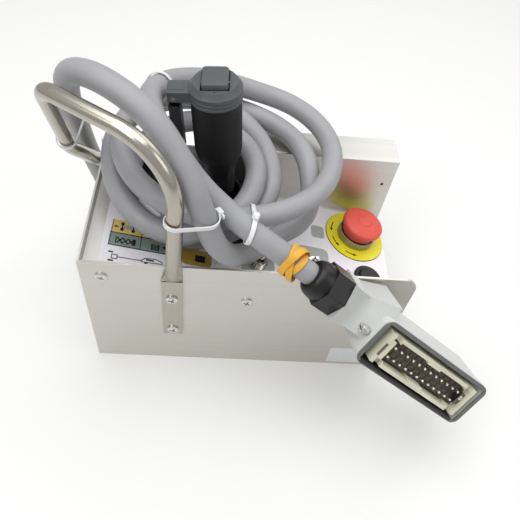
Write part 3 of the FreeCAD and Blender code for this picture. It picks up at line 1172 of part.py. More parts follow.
def build_cable():
    """Build the cable, its ties and the rubber band."""
    mouth = SIZE["hood_length"] / 2 + SIZE["entry_long"]
    nose = mouth + SIZE["hood_gland_hex"] + SIZE["hood_gland_cap"] + SIZE["cable_straight"]
    gland = SIZE["channel_left"] - SIZE["box_gland_reach"]
    before = gland - SIZE["box_gland_hex"] - SIZE["box_gland_cap"]
    points = [hood_point(-mouth + SIZE["box_gland_reach"], SIZE["entry_y"], -SIZE["entry_z"])]
    points.append(hood_point(-nose, SIZE["entry_y"], -SIZE["entry_z"]))
    points += [V(*p) for p in CABLE_HEAD] + coil_points() + [V(*p) for p in CABLE_TAIL]
    points += [V(x, SIZE["box_gland_y"], SIZE["box_gland_z"]) for x in (before, gland)]
    wire, radii = bent_path(points, lambda i, run, half: 0.45 * run / math.tan(half))
    radius = SIZE["cable_diameter"] / 2
    cord = tube(wire, points[0], points[1], radius)
    node(solid("cord", cord), "cable")
    share = cord.Volume / (math.pi * radius ** 2 * wire.Length)
    print("cable length %.0f, smallest radius %.1f, volume share %.4f" % (wire.Length, min(radii), share))
    print("cable radii", [round(r) for r in radii])

    slack = SIZE["tie_slack"]
    reach = {"strand": radius + slack, "loose": radius + 2 * slack,
             "handle": SIZE["handle_diameter"] / 2 + slack}
    ties = [hoop(V(*first), reach[one], V(*second), reach[other], V(*axis))
            for first, one, second, other, axis in TIES]
    node(solid("ties", Part.makeCompound(ties)), "cable_ties")

    along = (points[2] - points[1]).normalize()
    middle = (points[1] + points[2]) * 0.5
    turns = []
    for k in (-1, 0, 1):
        turns.append(Part.makeTorus(SIZE["band_radius"], SIZE["band_thick"],
                                    middle + along * (SIZE["band_step"] * k), along))
    node(solid("band", Part.makeCompound(turns)), "rubber_band")


build_case()
build_estop()
build_toggle("low")
build_toggle("high")
build_buttons()
build_joystick()
build_fixings()
build_box_gland()
build_hood()
build_contacts()
build_hood_gland()
build_cable()
DOC.recompute()

problems = []
for obj in DOC.Objects:
    if {"Invalid", "Error"} & set(obj.State):
        problems.append(obj.Name + " " + " ".join(obj.State))
for label, obj in NODES.items():
    if obj.Shape.isNull() or not obj.Shape.isValid() or not obj.Shape.Solids:
        problems.append(label + " has no valid shape")
if problems:
    raise RuntimeError("; ".join(problems))

os.makedirs("parts", exist_ok=True)
for label, obj in NODES.items():
    obj.Shape.exportStep("parts/%s.step" % label)
    size = obj.Shape.BoundBox
    print("%-20s solids %d  volume %9.0f  x %.1f %.1f  y %.1f %.1f  z %.1f %.1f" % (
        label, len(obj.Shape.Solids), obj.Shape.Volume, size.XMin, size.XMax, size.YMin, size.YMax,
        size.ZMin, size.ZMax))
print("pieces", len(NODES))
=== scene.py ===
"""Looks of a scissor lift's platform control box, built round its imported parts.

Sizes are in millimetres. Box positions are measured from the near front lower corner, with
X along the panel towards the operator, Y towards the far plate and Z up.
"""

import logging
import math
from dataclasses import dataclass, field
from enum import Enum

import bmesh
import bpy
import numpy as np
from mathutils import Matrix, Vector


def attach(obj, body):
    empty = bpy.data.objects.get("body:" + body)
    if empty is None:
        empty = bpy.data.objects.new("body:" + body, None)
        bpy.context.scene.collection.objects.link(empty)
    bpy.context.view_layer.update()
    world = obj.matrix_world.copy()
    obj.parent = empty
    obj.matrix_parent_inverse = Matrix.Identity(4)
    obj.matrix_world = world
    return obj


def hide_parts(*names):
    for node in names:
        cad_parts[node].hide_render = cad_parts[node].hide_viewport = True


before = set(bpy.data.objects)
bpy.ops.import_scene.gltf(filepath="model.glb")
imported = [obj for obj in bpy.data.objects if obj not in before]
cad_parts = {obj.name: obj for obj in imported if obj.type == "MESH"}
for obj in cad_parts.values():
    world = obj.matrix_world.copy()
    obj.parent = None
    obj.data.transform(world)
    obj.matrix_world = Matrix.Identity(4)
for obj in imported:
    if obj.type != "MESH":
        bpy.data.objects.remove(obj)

LOG = logging.getLogger("control_box")
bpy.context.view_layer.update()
MM = 0.001
TURN = 2 * math.pi
ROOT = "box"
BOX_CORNER = np.array([-136.0, -79.0, 0.0])
PANEL_HEIGHT = 138.3
PANEL_SLOPE = math.radians(11.56)
LEGEND_TOP = 0.5
PRINT_LIFT = 0.01
STICK_AT = (110.5, 86.0)
STICK_LEAN = math.radians(5.0)
HOOD_AT = (272.85, -67.2, 115.55)
HOOD_LONG = (0.827, -0.216, -0.518)
HOOD_SHORT = (0.558, 0.422, 0.714)
NEAR_TURN = np.array([[1.0, 0.0, 0.0], [0.0, 0.0, -1.0], [0.0, 1.0, 0.0]])
FAR_TURN = np.array([[-1.0, 0.0, 0.0], [0.0, 0.0, 1.0], [0.0, 1.0, 0.0]])
WELD = 2e-6
FLAT_ANGLE = math.radians(1.0)
NOISE_MIDDLE = (0.3, 0.7)
PAD_EASE = 0.3
STRIP_STEPS = 4

Pair = tuple[float, float]
Point = tuple[float, float, float]
Corners = tuple[float, float, float, float]
Color = tuple[float, float, float]
Socket = bpy.types.NodeSocket
Material = bpy.types.Material
Object = bpy.types.Object


class Axis(Enum):
    """Direction that a brushed surface's lines run in."""

    X = (1.0, 0.0, 0.0)
    Y = (0.0, 1.0, 0.0)
    Z = (0.0, 0.0, 1.0)


class Recess(Enum):
    """Driver recess in a fastener's head."""

    SLOT = 1
    CROSS = 2


def turn_about_y(angle: float) -> np.ndarray:
    """Return the 3x3 turn about Y that tips +Z towards +X by an angle in radians."""
    c, s = math.cos(angle), math.sin(angle)
    return np.array([[c, 0.0, s], [0.0, 1.0, 0.0], [-s, 0.0, c]])


@dataclass(frozen=True)
class Place:
    """Where a piece's own axes stand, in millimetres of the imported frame."""

    turn: np.ndarray
    origin: np.ndarray

    def world(self, points: np.ndarray) -> np.ndarray:
        """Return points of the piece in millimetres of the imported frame."""
        return points @ self.turn.T + self.origin


def in_box(points: np.ndarray) -> np.ndarray:
    """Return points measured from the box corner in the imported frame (mm)."""
    return np.asarray(points, float) + BOX_CORNER


def on_panel(x: float, y: float) -> Place:
    """Return the place on the sloping panel surface at a box position (mm)."""
    height = PANEL_HEIGHT - x * math.tan(PANEL_SLOPE)
    return Place(turn_about_y(PANEL_SLOPE), in_box(np.array([x, y, height])))


def on_stick() -> Place:
    """Return the place of the joystick's leaning axis."""
    return Place(turn_about_y(-STICK_LEAN), on_panel(*STICK_AT).origin)


def on_hood() -> Place:
    """Find where the connector's rim stands.

    Returns:
        The rim's long, short and outward axes, the short one squared to the long one.
    """
    long, short = np.array(HOOD_LONG), np.array(HOOD_SHORT)
    long /= np.linalg.norm(long)
    short -= long * (long @ short)
    short /= np.linalg.norm(short)
    return Place(np.stack([long, short, np.cross(long, short)], 1), in_box(np.array(HOOD_AT)))


def facing_near(x: float, y: float, z: float) -> Place:
    """Return the place of something that looks out of the near plate."""
    return Place(NEAR_TURN, in_box(np.array([x, y, z])))


def facing_far(x: float, y: float, z: float) -> Place:
    """Return the place of something that looks out of the far plate."""
    return Place(FAR_TURN, in_box(np.array([x, y, z])))


@dataclass
class Skin:
    """A surface as points (mm) and faces, before it becomes a mesh."""

    points: np.ndarray
    faces: list[list[int]]

    def __add__(self, other: "Skin") -> "Skin":
        """Return both surfaces as one."""
        shift = len(self.points)
        moved = [[i + shift for i in face] for face in other.faces]
        return Skin(np.vstack([self.points, other.points]), self.faces + moved)

    def at(self, place: Place) -> "Skin":
        """Return the surface carried to a place."""
        return Skin(place.world(self.points), self.faces)

    def moved(self, x: float, y: float, z: float) -> "Skin":
        """Return the surface shifted in its own axes."""
        return Skin(self.points + np.array([x, y, z]), self.faces)


def sum_skins(skins: list[Skin]) -> Skin:
    """Return several surfaces as one."""
    return sum(skins[1:], skins[0])


def grid_faces(rows: int, cols: int, close_rows: bool = False) -> list[list[int]]:
    """List the quads of a grid of points whose rows are closed rings.

    Args:
        rows: Number of rows.
        cols: Points in a row.
        close_rows: Join the last row to the first.

    Returns:
        Four point numbers for each quad.
    """
    r = np.arange(rows if close_rows else rows - 1)[:, None]
    c = np.arange(cols)[None, :]
    r2, c2 = (r + 1) % rows, (c + 1) % cols
    corners = (r * cols + c, r * cols + c2, r2 * cols + c2, r2 * cols + c)
    return np.stack(np.broadcast_arrays(*corners), -1).reshape(-1, 4).tolist()


def turned(profile: np.ndarray, around: int) -> Skin:
    """Carry a profile round Z.

    Args:
        profile: (radius, height) points.
        around: Points in each ring.

    Returns:
        The surface x = r cos a, y = r sin a, z = h.
    """
    angle = np.linspace(0.0, TURN, around, endpoint=False)
    radius, height = profile[:, :1], profile[:, 1:2]
    points = np.stack([radius * np.cos(angle), radius * np.sin(angle), height + 0 * angle], -1)
    return Skin(points.reshape(-1, 3), grid_faces(len(profile), around))


def smooth_profile(corners: list[Pair], steps: int, ease: float) -> np.ndarray:
    """Round each inner corner of an open outline with a quadratic arc.

    Args:
        corners: (radius, height) corners.
        steps: Points on each rounded corner.
        ease: Share of the shorter side that a rounding takes.

    Returns:
        The outline: near each corner p, (1-t)^2 a + 2t(1-t) p + t^2 b.
    """
    p = np.array(corners, float)
    here = p[1:-1]
    back, ahead = p[:-2] - here, p[2:] - here
    back_long = np.linalg.norm(back, axis=1)[:, None]
    ahead_long = np.linalg.norm(ahead, axis=1)[:, None]
    near = np.minimum(back_long, ahead_long) * ease
    a = here + back / back_long * near
    b = here + ahead / ahead_long * near
    t = np.linspace(0.0, 1.0, steps)[None, :, None]
    rounds = (1 - t) ** 2 * a[:, None] + 2 * t * (1 - t) * here[:, None] + t ** 2 * b[:, None]
    return np.vstack([p[:1], rounds.reshape(-1, 2), p[-1:]])


def swept(path: np.ndarray, section: np.ndarray, up: np.ndarray) -> Skin:
    """Carry a flat section round a closed path.

    Args:
        path: Points (mm) round the way.
        section: Closed outline as (across, out) offsets.
        up: Outward direction at each path point.

    Returns:
        The wall: p + across * side + out * up.
    """
    ahead = np.roll(path, -1, 0) - np.roll(path, 1, 0)
    ahead /= np.linalg.norm(ahead, axis=1)[:, None]
    side = np.cross(ahead, up)
    side /= np.linalg.norm(side, axis=1)[:, None]
    out = np.cross(side, ahead)
    points = path[:, None] + section[None, :, :1] * side[:, None] + section[None, :, 1:] * out[:, None]
    return Skin(points.reshape(-1, 3), grid_faces(len(path), len(section), close_rows=True))


def capped(rings: list[np.ndarray]) -> Skin:
    """Join rings of points, each above the last, and close both ends.

    Args:
        rings: Closed rings with the same number of points.

    Returns:
        The closed surface.
    """
    count = len(rings[0])
    last = count * (len(rings) - 1)
    ends = [list(range(count))[::-1], [last + i for i in range(count)]]
    return Skin(np.vstack(rings), grid_faces(len(rings), count) + ends)


def level(outline: np.ndarray, height: float) -> np.ndarray:
    """Return an outline in X and Y as points at one height."""
    return np.c_[outline, np.full(len(outline), height)]


def slab(outline: np.ndarray, low: float, high: float) -> Skin:
    """Return a flat plate: a closed outline in X and Y between two heights."""
    return capped([level(outline, low), level(outline, high)])


def rounded_box(length: float, width: float, radius: float, steps: int = 6) -> np.ndarray:
    """Draw a rectangle with round corners, centred on the origin.

    Args:
        length: Size along X.
        width: Size along Y.
        radius: Corner radius.
        steps: Points on each corner.

    Returns:
        The outline: each corner's centre plus radius times (cos a, sin a) over its quarter.
    """
    a = np.linspace(0.0, math.pi / 2, steps)
    quarter = np.arange(4)[:, None] * math.pi / 2
    sx = np.array([1, -1, -1, 1])[:, None] * (length / 2 - radius)
    sy = np.array([1, 1, -1, -1])[:, None] * (width / 2 - radius)
    corners = [sx + radius * np.cos(a + quarter), sy + radius * np.sin(a + quarter)]
    return np.stack(corners, -1).reshape(-1, 2)


def disc(radius: float, count: int = 24) -> np.ndarray:
    """Return the outline of a circle: radius times (cos, sin)."""
    a = np.linspace(0.0, TURN, count, endpoint=False)
    return radius * np.stack([np.cos(a), np.sin(a)], 1)


def pad(length: float, width: float, height: float, radius: float) -> Skin:
    """Make a block that stands on z = 0 with round corners and an eased top edge.

    Each level is the rounded outline drawn in by s at height z. The edge is eased over half
    the corner radius.

    Args:
        length: Size along X.
        width: Size along Y.
        height: Size along Z.
        radius: Radius of the upright corners.

    Returns:
        The closed block.
    """
    soft = radius / 2
    ease = soft * PAD_EASE
    levels = ((0.0, 0.0), (0.0, height - soft), (ease, height - ease), (soft, height))
    return capped([level(rounded_box(length - 2 * s, width - 2 * s, radius), z) for s, z in levels])


@dataclass(frozen=True)
class Fastener:
    """Fastener along Z: a domed head on z = 0 with a driver recess, and a shank below.

    Head and shank are radii in mm. The recess's sizes are shares of the head's radius, and
    its sink and the dome's drop are shares of the head's rise.
    """

    head: float
    rise: float
    shank: float
    length: float
    recess: Recess
    rows: int = 26
    cols: int = 96
    dome_drop: float = 0.5
    dome_power: float = 2.6
    recess_turn: float = 0.35
    recess_sink: float = 0.8
    blade_half: float = 0.17
    blade_edge: float = 0.06
    cross_reach: float = 0.62
    cross_edge: float = 0.1

    def skin(self) -> Skin:
        """Work out the closed surface over a polar grid.

        The head's height is rise (1 - drop (r/R)^power), and rise (1 - sink) where the point
        lies within a blade's width and length. From the head's edge the surface runs on down
        the skirt, in to the shank, down it and in to its middle.

        Returns:
            Head and shank as one surface.
        """
        r = np.linspace(0.0, self.head, self.rows)[:, None]
        a = np.linspace(0.0, TURN, self.cols, endpoint=False)[None, :]
        along = np.abs(r * np.cos(a + self.recess_turn))
        blade = np.abs(r * np.sin(a + self.recess_turn))
        reach = np.ones_like(r)
        if self.recess is Recess.CROSS:
            blade = np.minimum(along, blade)
            reach = np.clip((self.head * self.cross_reach - r) / (self.head * self.cross_edge), 0, 1)
        depth = np.clip((self.head * self.blade_half - blade) / (self.head * self.blade_edge), 0, 1) * reach
        dome = self.dome_drop * (r / self.head) ** self.dome_power
        z = self.rise * (1.0 - dome - (self.recess_sink - dome) * depth)
        top = np.stack([r * np.cos(a), r * np.sin(a), z], -1)
        foot = -self.length
        lower = np.array([[self.head, 0.0], [self.shank, 0.0], [self.shank, foot], [0.0, foot]])[:, :, None]
        rest = np.stack([lower[:, 0] * np.cos(a), lower[:, 0] * np.sin(a), lower[:, 1] + 0 * a], -1)
        points = np.concatenate([top, rest])
        return Skin(points.reshape(-1, 3), grid_faces(len(points), self.cols))


def show(obj: Object) -> None:
    """Put an object into the scene."""
    bpy.context.scene.collection.objects.link(obj)


def make_piece(name: str, skin: Skin, material: Material, body: str,
               replaces: tuple[str, ...] = (), sharp: float = 35.0) -> Object:
    """Turn a surface into an object that rides on a body.

    Args:
        name: Object name.
        skin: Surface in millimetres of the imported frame.
        material: Finish.
        body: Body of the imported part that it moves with.
        replaces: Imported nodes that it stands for.
        sharp: Edges above this angle (degrees) stay sharp.

    Returns:
        The new object.
    """
    mesh = bpy.data.meshes.new(name)
    mesh.from_pydata((skin.points * MM).tolist(), [], skin.faces)
    work = bmesh.new()
    work.from_mesh(mesh)
    bmesh.ops.remove_doubles(work, verts=work.verts, dist=WELD)
    bmesh.ops.recalc_face_normals(work, faces=work.faces)
    work.to_mesh(mesh)
    work.free()
    mesh.shade_smooth()
    mesh.set_sharp_from_angle(angle=math.radians(sharp))
    mesh.materials.append(material)
    obj = bpy.data.objects.new(name, mesh)
    show(obj)
    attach(obj, body)
    if replaces:
        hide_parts(*replaces)
    LOG.info("piece %s: %d faces", name, len(mesh.polygons))
    return obj


def dress(node: str, material: Material, bevel: float = 0.0, sharp: float = 30.0, steps: int = 2) -> Object:
    """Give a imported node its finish, smooth curves and softened edges.

    Args:
        node: Node name.
        material: Finish.
        bevel: Edge rounding in mm, 0 for none.
        sharp: Edges above this angle (degrees) stay sharp or are rounded.
        steps: Faces across a rounded edge.

    Returns:
        The node's object.
    """
    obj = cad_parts[node]
    mesh = obj.data
    mesh.materials.clear()
    mesh.materials.append(material)
    stored = mesh.attributes.get("custom_normal")
    if stored is not None:
        mesh.attributes.remove(stored)
    mesh.shade_smooth()
    weld = obj.modifiers.new("join", "WELD")
    weld.merge_threshold = WELD
    if bevel > 0:
        flat = obj.modifiers.new("flat", "DECIMATE")
        flat.decimate_type = "DISSOLVE"
        flat.angle_limit = FLAT_ANGLE
        edge = obj.modifiers.new("edge", "BEVEL")
        edge.width = bevel * MM
        edge.segments = steps
        edge.limit_method = "ANGLE"
        edge.angle_limit = math.radians(sharp)
        edge.harden_normals = True
    else:
        split = obj.modifiers.new("sharp", "EDGE_SPLIT")
        split.split_angle = math.radians(sharp)
    LOG.info("node %s dressed", node)
    return obj


class Recipe:
    """Node tree of one material, built from a few kinds of detail."""

    def __init__(self, name: str, color: Color, rough: float, metal: float = 0.0) -> None:
        """Start a material with its plain values on the shader's own sockets.

        Args:
            name: Material name.
            color: Plain base colour.
            rough: Plain roughness.
            metal: 1 for bare metal, 0 for anything else.
        """
        self.material = bpy.data.materials.new(name)
        self.material.use_nodes = True
        self.tree = self.material.node_tree
        self.shader = self.tree.nodes["Principled BSDF"]
        self.color = color
        self.set("Base Color", (*color, 1.0))
        self.set("Roughness", rough)
        self.set("Metallic", metal)
        self.coords = self.tree.nodes.new("ShaderNodeTexCoord")

    def set(self, socket: str, value: float | tuple[float, ...]) -> None:
        """Put a plain value on one of the shader's sockets."""
        self.shader.inputs[socket].default_value = value

    def link(self, out: Socket, into: Socket) -> None:
        """Join two sockets."""
        self.tree.links.new(out, into)

    def noise(self, scale: float, detail: float = 3.0, stretch: Point = (1.0, 1.0, 1.0)) -> Socket:
        """Add noise in Object coordinates.

        Args:
            scale: Noise scale in each metre.
            detail: Layers of finer noise.
            stretch: Share of the scale along each axis.

        Returns:
            The noise's value.
        """
        space = self.tree.nodes.new("ShaderNodeMapping")
        space.inputs["Scale"].default_value = stretch
        self.link(self.coords.outputs["Object"], space.inputs["Vector"])
        node = self.tree.nodes.new("ShaderNodeTexNoise")
        node.inputs["Scale"].default_value = scale
        node.inputs["Detail"].default_value = detail
        self.link(space.outputs["Vector"], node.inputs["Vector"])
        return node.outputs["Fac"]

    def tones(self, value: Socket, darker: float, lighter: float) -> None:
        """Run the base colour between two tones over the middle of a noise's range.

        Args:
            value: Noise value.
            darker: Factor on the plain colour at the low end.
            lighter: Factor on the plain colour at the high end.
        """
        node = self.tree.nodes.new("ShaderNodeValToRGB")
        for stop, position, by in zip(node.color_ramp.elements, NOISE_MIDDLE, (darker, lighter)):
            stop.position = position
            stop.color = (*(min(1.0, c * by) for c in self.color), 1.0)
        self.link(value, node.inputs["Fac"])
        self.link(node.outputs["Color"], self.shader.inputs["Base Color"])

    def rough(self, value: Socket, low: float, high: float) -> None:
        """Run the roughness between two limits over the middle of a noise's range.

        Args:
            value: Noise value.
            low: Roughness at the low end.
            high: Roughness at the high end.
        """
        node = self.tree.nodes.new("ShaderNodeMapRange")
        for key, number in zip(("From Min", "From Max", "To Min", "To Max"), (*NOISE_MIDDLE, low, high)):
            node.inputs[key].default_value = number
        self.link(value, node.inputs["Value"])
        self.link(node.outputs["Result"], self.shader.inputs["Roughness"])

    def bump(self, *layers: tuple[Socket, float, float]) -> None:
        """Stack bumps, each on the one before.

        Args:
            layers: Height, strength and distance in mm of each bump.
        """
        last: Socket | None = None
        for height, strength, distance in layers:
            node = self.tree.nodes.new("ShaderNodeBump")
            node.inputs["Strength"].default_value = strength
            node.inputs["Distance"].default_value = distance * MM
            self.link(height, node.inputs["Height"])
            if last is not None:
                self.link(last, node.inputs["Normal"])
            last = node.outputs["Normal"]
        if last is not None:
            self.link(last, self.shader.inputs["Normal"])


# In the finishes below a noise is its scale and its detail, tones are factors on the plain
# colour, and a bump is its strength and its height in mm.
@dataclass(frozen=True)
class BrushedSteel:
    """Sheet or tube with fine lines along one direction, soft streaks and faint stains.

    Streaks and lines give the noise's scale along and across the brushing.
    """

    name: str
    color: Color
    along: Axis
    rough: Pair
    contrast: float
    metal: float = 1.0
    streaks: Pair = (7.0, 260.0)
    streak_detail: float = 5.0
    lines: Pair = (24.0, 2600.0)
    line_detail: float = 2.0
    line_bump: Pair = (0.10, 0.03)
    stains: Pair = (16.0, 5.0)
    stain_bump: Pair = (0.03, 0.3)

    def stretched(self, along: float, across: float) -> Point:
        """Return noise stretch that draws lines along the brushing."""
        return tuple(along if part else across for part in self.along.value)

    def make(self) -> Material:
        """Build the node tree.

        Returns:
            The material.
        """
        recipe = Recipe(self.name, self.color, sum(self.rough) / 2, self.metal)
        streaks = recipe.noise(1.0, self.streak_detail, self.stretched(*self.streaks))
        lines = recipe.noise(1.0, self.line_detail, self.stretched(*self.lines))
        stains = recipe.noise(*self.stains)
        recipe.tones(streaks, 1 - self.contrast, 1 + self.contrast)
        recipe.rough(stains, *self.rough)
        recipe.bump((lines, *self.line_bump), (stains, *self.stain_bump))
        return recipe.material


@dataclass(frozen=True)
class Moulded:
    """Moulded plastic or rubber with a fine grain, rubbed a little in places.

    The glow is light carried under the skin, with its reach in metres.
    """

    name: str
    color: Color
    rough: Pair
    grain: float = 1400.0
    depth: float = 0.06
    variation: float = 0.1
    glow: float = 0.0
    gloss: float = 0.5
    glow_reach: float = 0.002
    grain_detail: float = 2.0
    grain_strength: float = 0.25
    wear: Pair = (45.0, 4.0)

    def make(self) -> Material:
        """Build the node tree.

        Returns:
            The material.
        """
        recipe = Recipe(self.name, self.color, sum(self.rough) / 2)
        recipe.set("Specular IOR Level", self.gloss)
        if self.glow > 0:
            recipe.set("Subsurface Weight", self.glow)
            recipe.set("Subsurface Scale", self.glow_reach)
        wear = recipe.noise(*self.wear)
        recipe.tones(wear, 1 - self.variation, 1 + self.variation)
        recipe.rough(wear, *self.rough)
        recipe.bump((recipe.noise(self.grain, self.grain_detail), self.grain_strength, self.depth))
        return recipe.material


@dataclass(frozen=True)
class Plated:
    """Bright plated metal with faint handling marks."""

    name: str
    color: Color
    rough: Pair = (0.12, 0.26)
    marks: Pair = (220.0, 4.0)
    mark_tones: Pair = (0.9, 1.05)
    mark_bump: Pair = (0.05, 0.05)

    def make(self) -> Material:
        """Build the node tree.

        Returns:
            The material.
        """
        recipe = Recipe(self.name, self.color, sum(self.rough) / 2, 1.0)
        marks = recipe.noise(*self.marks)
        recipe.tones(marks, *self.mark_tones)
        recipe.rough(marks, *self.rough)
        recipe.bump((marks, *self.mark_bump))
        return recipe.material


@dataclass(frozen=True)
class Coated:
    """Cast metal under paint: slight orange peel and soft cast unevenness.

    The coat is its weight and its roughness.
    """

    name: str
    color: Color
    plain_rough: float = 0.36
    rough: Pair = (0.32, 0.46)
    coat: Pair = (0.2, 0.22)
    peel: Pair = (900.0, 2.0)
    peel_bump: Pair = (0.08, 0.06)
    cloud: Pair = (30.0, 4.0)
    cloud_tones: Pair = (0.95, 1.05)
    cloud_bump: Pair = (0.05, 0.6)

    def make(self) -> Material:
        """Build the node tree.

        Returns:
            The material.
        """
        recipe = Recipe(self.name, self.color, self.plain_rough)
        weight, coat_rough = self.coat
        recipe.set("Coat Weight", weight)
        recipe.set("Coat Roughness", coat_rough)
        peel = recipe.noise(*self.peel)
        cloud = recipe.noise(*self.cloud)
        recipe.tones(cloud, *self.cloud_tones)
        recipe.rough(cloud, *self.rough)
        recipe.bump((cloud, *self.cloud_bump), (peel, *self.peel_bump))
        return recipe.material


@dataclass(frozen=True)
class Printed:
    """Ink or film on a printed sheet: nearly flat, with a faint print grain."""

    name: str
    color: Color
    plain_rough: float = 0.38
    rough: Pair = (0.32, 0.44)
    smears: float = 60.0
    grain: Pair = (700.0, 3.0)
    grain_tones: Pair = (0.95, 1.04)
    grain_bump: Pair = (0.05, 0.02)

    def make(self) -> Material:
        """Build the node tree.

        Returns:
            The material.
        """
        recipe = Recipe(self.name, self.color, self.plain_rough)
        grain = recipe.noise(*self.grain)
        recipe.tones(grain, *self.grain_tones)
        recipe.rough(recipe.noise(self.smears), *self.rough)
        recipe.bump((grain, *self.grain_bump))
        return recipe.material


def finish(look: BrushedSteel | Moulded | Plated | Coated | Printed) -> Material:
    """Return a dataclass field that holds the material of a finish."""
    return field(default_factory=look.make)


@dataclass(frozen=True)
class Finishes:
    """Every finish of the box, made once and shared."""

    plate: Material = finish(BrushedSteel(
        "near_plate_steel", (0.60, 0.585, 0.54), Axis.X, (0.34, 0.44), 0.02))
    wall: Material = finish(BrushedSteel("wall_steel", (0.66, 0.65, 0.615), Axis.X, (0.36, 0.46), 0.03))
    # Tray and panel steel is lighter and less metallic than the same steel of the walls: painted light on
    # the tray's shaded inner faces.
    tray: Material = finish(BrushedSteel("tray_steel_painted_light", (0.78, 0.77, 0.735), Axis.Y, (0.3, 0.42), 0.03, 0.6))
    tube: Material = finish(BrushedSteel("handle_steel", (0.445, 0.42, 0.365), Axis.Z, (0.18, 0.28), 0.04))
    bright: Material = finish(Plated("bright_metal", (0.72, 0.71, 0.69)))
    screw: Material = finish(Plated("screw_steel", (0.66, 0.65, 0.625), (0.16, 0.3)))
    pin: Material = finish(Plated("contact_silver", (0.86, 0.85, 0.82), (0.16, 0.3)))
    clip: Material = finish(Plated("clip_steel", (0.20, 0.19, 0.17), (0.25, 0.4)))
    collar: Material = finish(Plated("collar_metal", (0.36, 0.36, 0.37), (0.34, 0.5)))
    paint: Material = finish(Coated("hood_paint", (0.60, 0.61, 0.60)))
    red: Material = finish(Moulded(
        "stop_red", (0.72, 0.085, 0.058), (0.4, 0.52), grain=1800.0, depth=0.03, variation=0.04))
    yellow: Material = finish(Moulded(
        "stop_yellow", (0.86, 0.76, 0.014), (0.36, 0.48), grain=1800.0, depth=0.02, variation=0.04))
    black: Material = finish(Moulded("black_moulding", (0.012, 0.012, 0.013), (0.36, 0.5), gloss=0.35))
    nylon_black: Material = finish(Moulded(
        "gland_black", (0.008, 0.008, 0.009), (0.26, 0.36), grain=900.0, depth=0.03, gloss=0.35))
    grip: Material = finish(Moulded(
        "grip_black", (0.007, 0.007, 0.008), (0.46, 0.6), grain=2200.0, depth=0.1, gloss=0.3))
    grey: Material = finish(Moulded("cap_grey", (0.078, 0.084, 0.087), (0.42, 0.55), grain=2200.0))
    rubber: Material = finish(Moulded(
        "boot_rubber", (0.012, 0.012, 0.012), (0.55, 0.7), grain=900.0, depth=0.08, gloss=0.3))
    sheath: Material = finish(Moulded(
        "cable_sheath", (0.345, 0.345, 0.36), (0.40, 0.52), grain=700.0, depth=0.05, variation=0.05))
    nylon: Material = finish(Moulded(
        "tie_nylon", (0.82, 0.83, 0.82), (0.28, 0.4), grain=900.0, depth=0.02, variation=0.05, glow=0.3))
    band: Material = finish(Moulded(
        "band_rubber", (0.80, 0.42, 0.035), (0.35, 0.5), grain=800.0, depth=0.05, variation=0.15, glow=0.2))
    gasket: Material = finish(Moulded(
        "gasket_grey", (0.145, 0.15, 0.147), (0.45, 0.6), grain=1200.0, depth=0.08))
    cream: Material = finish(Moulded(
        "insert_cream", (0.70, 0.68, 0.53), (0.4, 0.55), grain=1500.0, depth=0.05))
    # Dark frame finish; it also colours the painted-shade strip on the connector's seal.
    shadow: Material = finish(Moulded(
        "frame_dark_and_painted_shade", (0.03, 0.03, 0.028), (0.5, 0.65), grain=1500.0, depth=0.05))
    # Dark brown of the insert's floor: painted shade deep in the insert.
    floor: Material = finish(Moulded(
        "insert_floor_painted_shade", (0.075, 0.062, 0.04), (0.4, 0.55), grain=1500.0, depth=0.05))
    board: Material = finish(Moulded(
        "board_green", (0.02, 0.16, 0.06), (0.3, 0.4), grain=600.0, depth=0.03))
    legend: Material = finish(Printed("legend_white", (0.87, 0.855, 0.90)))
    ink: Material = finish(Printed("legend_ink", (0.012, 0.012, 0.013)))
    straw: Material = finish(Printed("legend_straw", (0.82, 0.59, 0.19)))
    sage: Material = finish(Printed("legend_sage", (0.235, 0.305, 0.275)))
    ochre: Material = finish(Printed("legend_ochre", (0.46, 0.29, 0.05)))
    mist: Material = finish(Printed("legend_mist", (0.40, 0.43, 0.41)))
    label: Material = finish(Printed("label_white", (0.78, 0.79, 0.80)))


@dataclass
class Case:
    """Sheet metal case: plates, channel, tray, panel, screws and a blank label.

    The label and the screws are placed by X and Z on the near plate. A screw's head is its
    radius and rise, its shank a radius and a length.
    """

    looks: Finishes
    label_low: Pair = (223.0, 4.0)
    label_size: Pair = (44.0, 28.0)
    label_round: float = 1.5
    label_thick: float = 0.15
    screws: tuple[Pair, ...] = ((16.9, 129.34), (134.8, 103.83))
    screw_head: Pair = (4.9, 2.4)
    screw_shank: Pair = (2.0, 7.0)
    lip: Corners = (1.55, 2.1, 3.9, 125.4)
    lip_levels: Pair = (0.02, 0.25)

    def build(self) -> None:
        """Dress the sheet metal and build the screws, the label and the panel's front lip."""
        looks = self.looks
        for node, material, bevel in (
            ("near_side_plate", looks.plate, 0.35), ("far_side_plate", looks.wall, 0.3),
            ("rear_channel", looks.wall, 0.5), ("base_tray", looks.tray, 0.4),
            ("control_panel", looks.tray, 0.3), ("circuit_board", looks.board, 0.0),
            ("board_posts", looks.black, 0.0),
        ):
            dress(node, material, bevel)
        x, z = self.label_low
        long, high = self.label_size
        sheet = slab(rounded_box(long, high, self.label_round), 0.0, self.label_thick)
        place = facing_near(x + long / 2, 0.0, z + high / 2)
        make_piece("plate_label", sheet.at(place), looks.label, ROOT)
        screw = Fastener(*self.screw_head, *self.screw_shank, Recess.CROSS).skin()
        skins = [screw.at(facing_near(sx, 0.0, sz)) for sx, sz in self.screws]
        make_piece("panel_cross_screws", sum_skins(skins), looks.screw, ROOT,
                   ("panel_screws",))
        x0, y0, x1, y1 = self.lip
        strip = slab(np.array([[x0, y0], [x1, y0], [x1, y1], [x0, y1]]), *self.lip_levels)
        make_piece("panel_lip", strip.at(on_panel(0.0, 0.0)), looks.tray, ROOT)


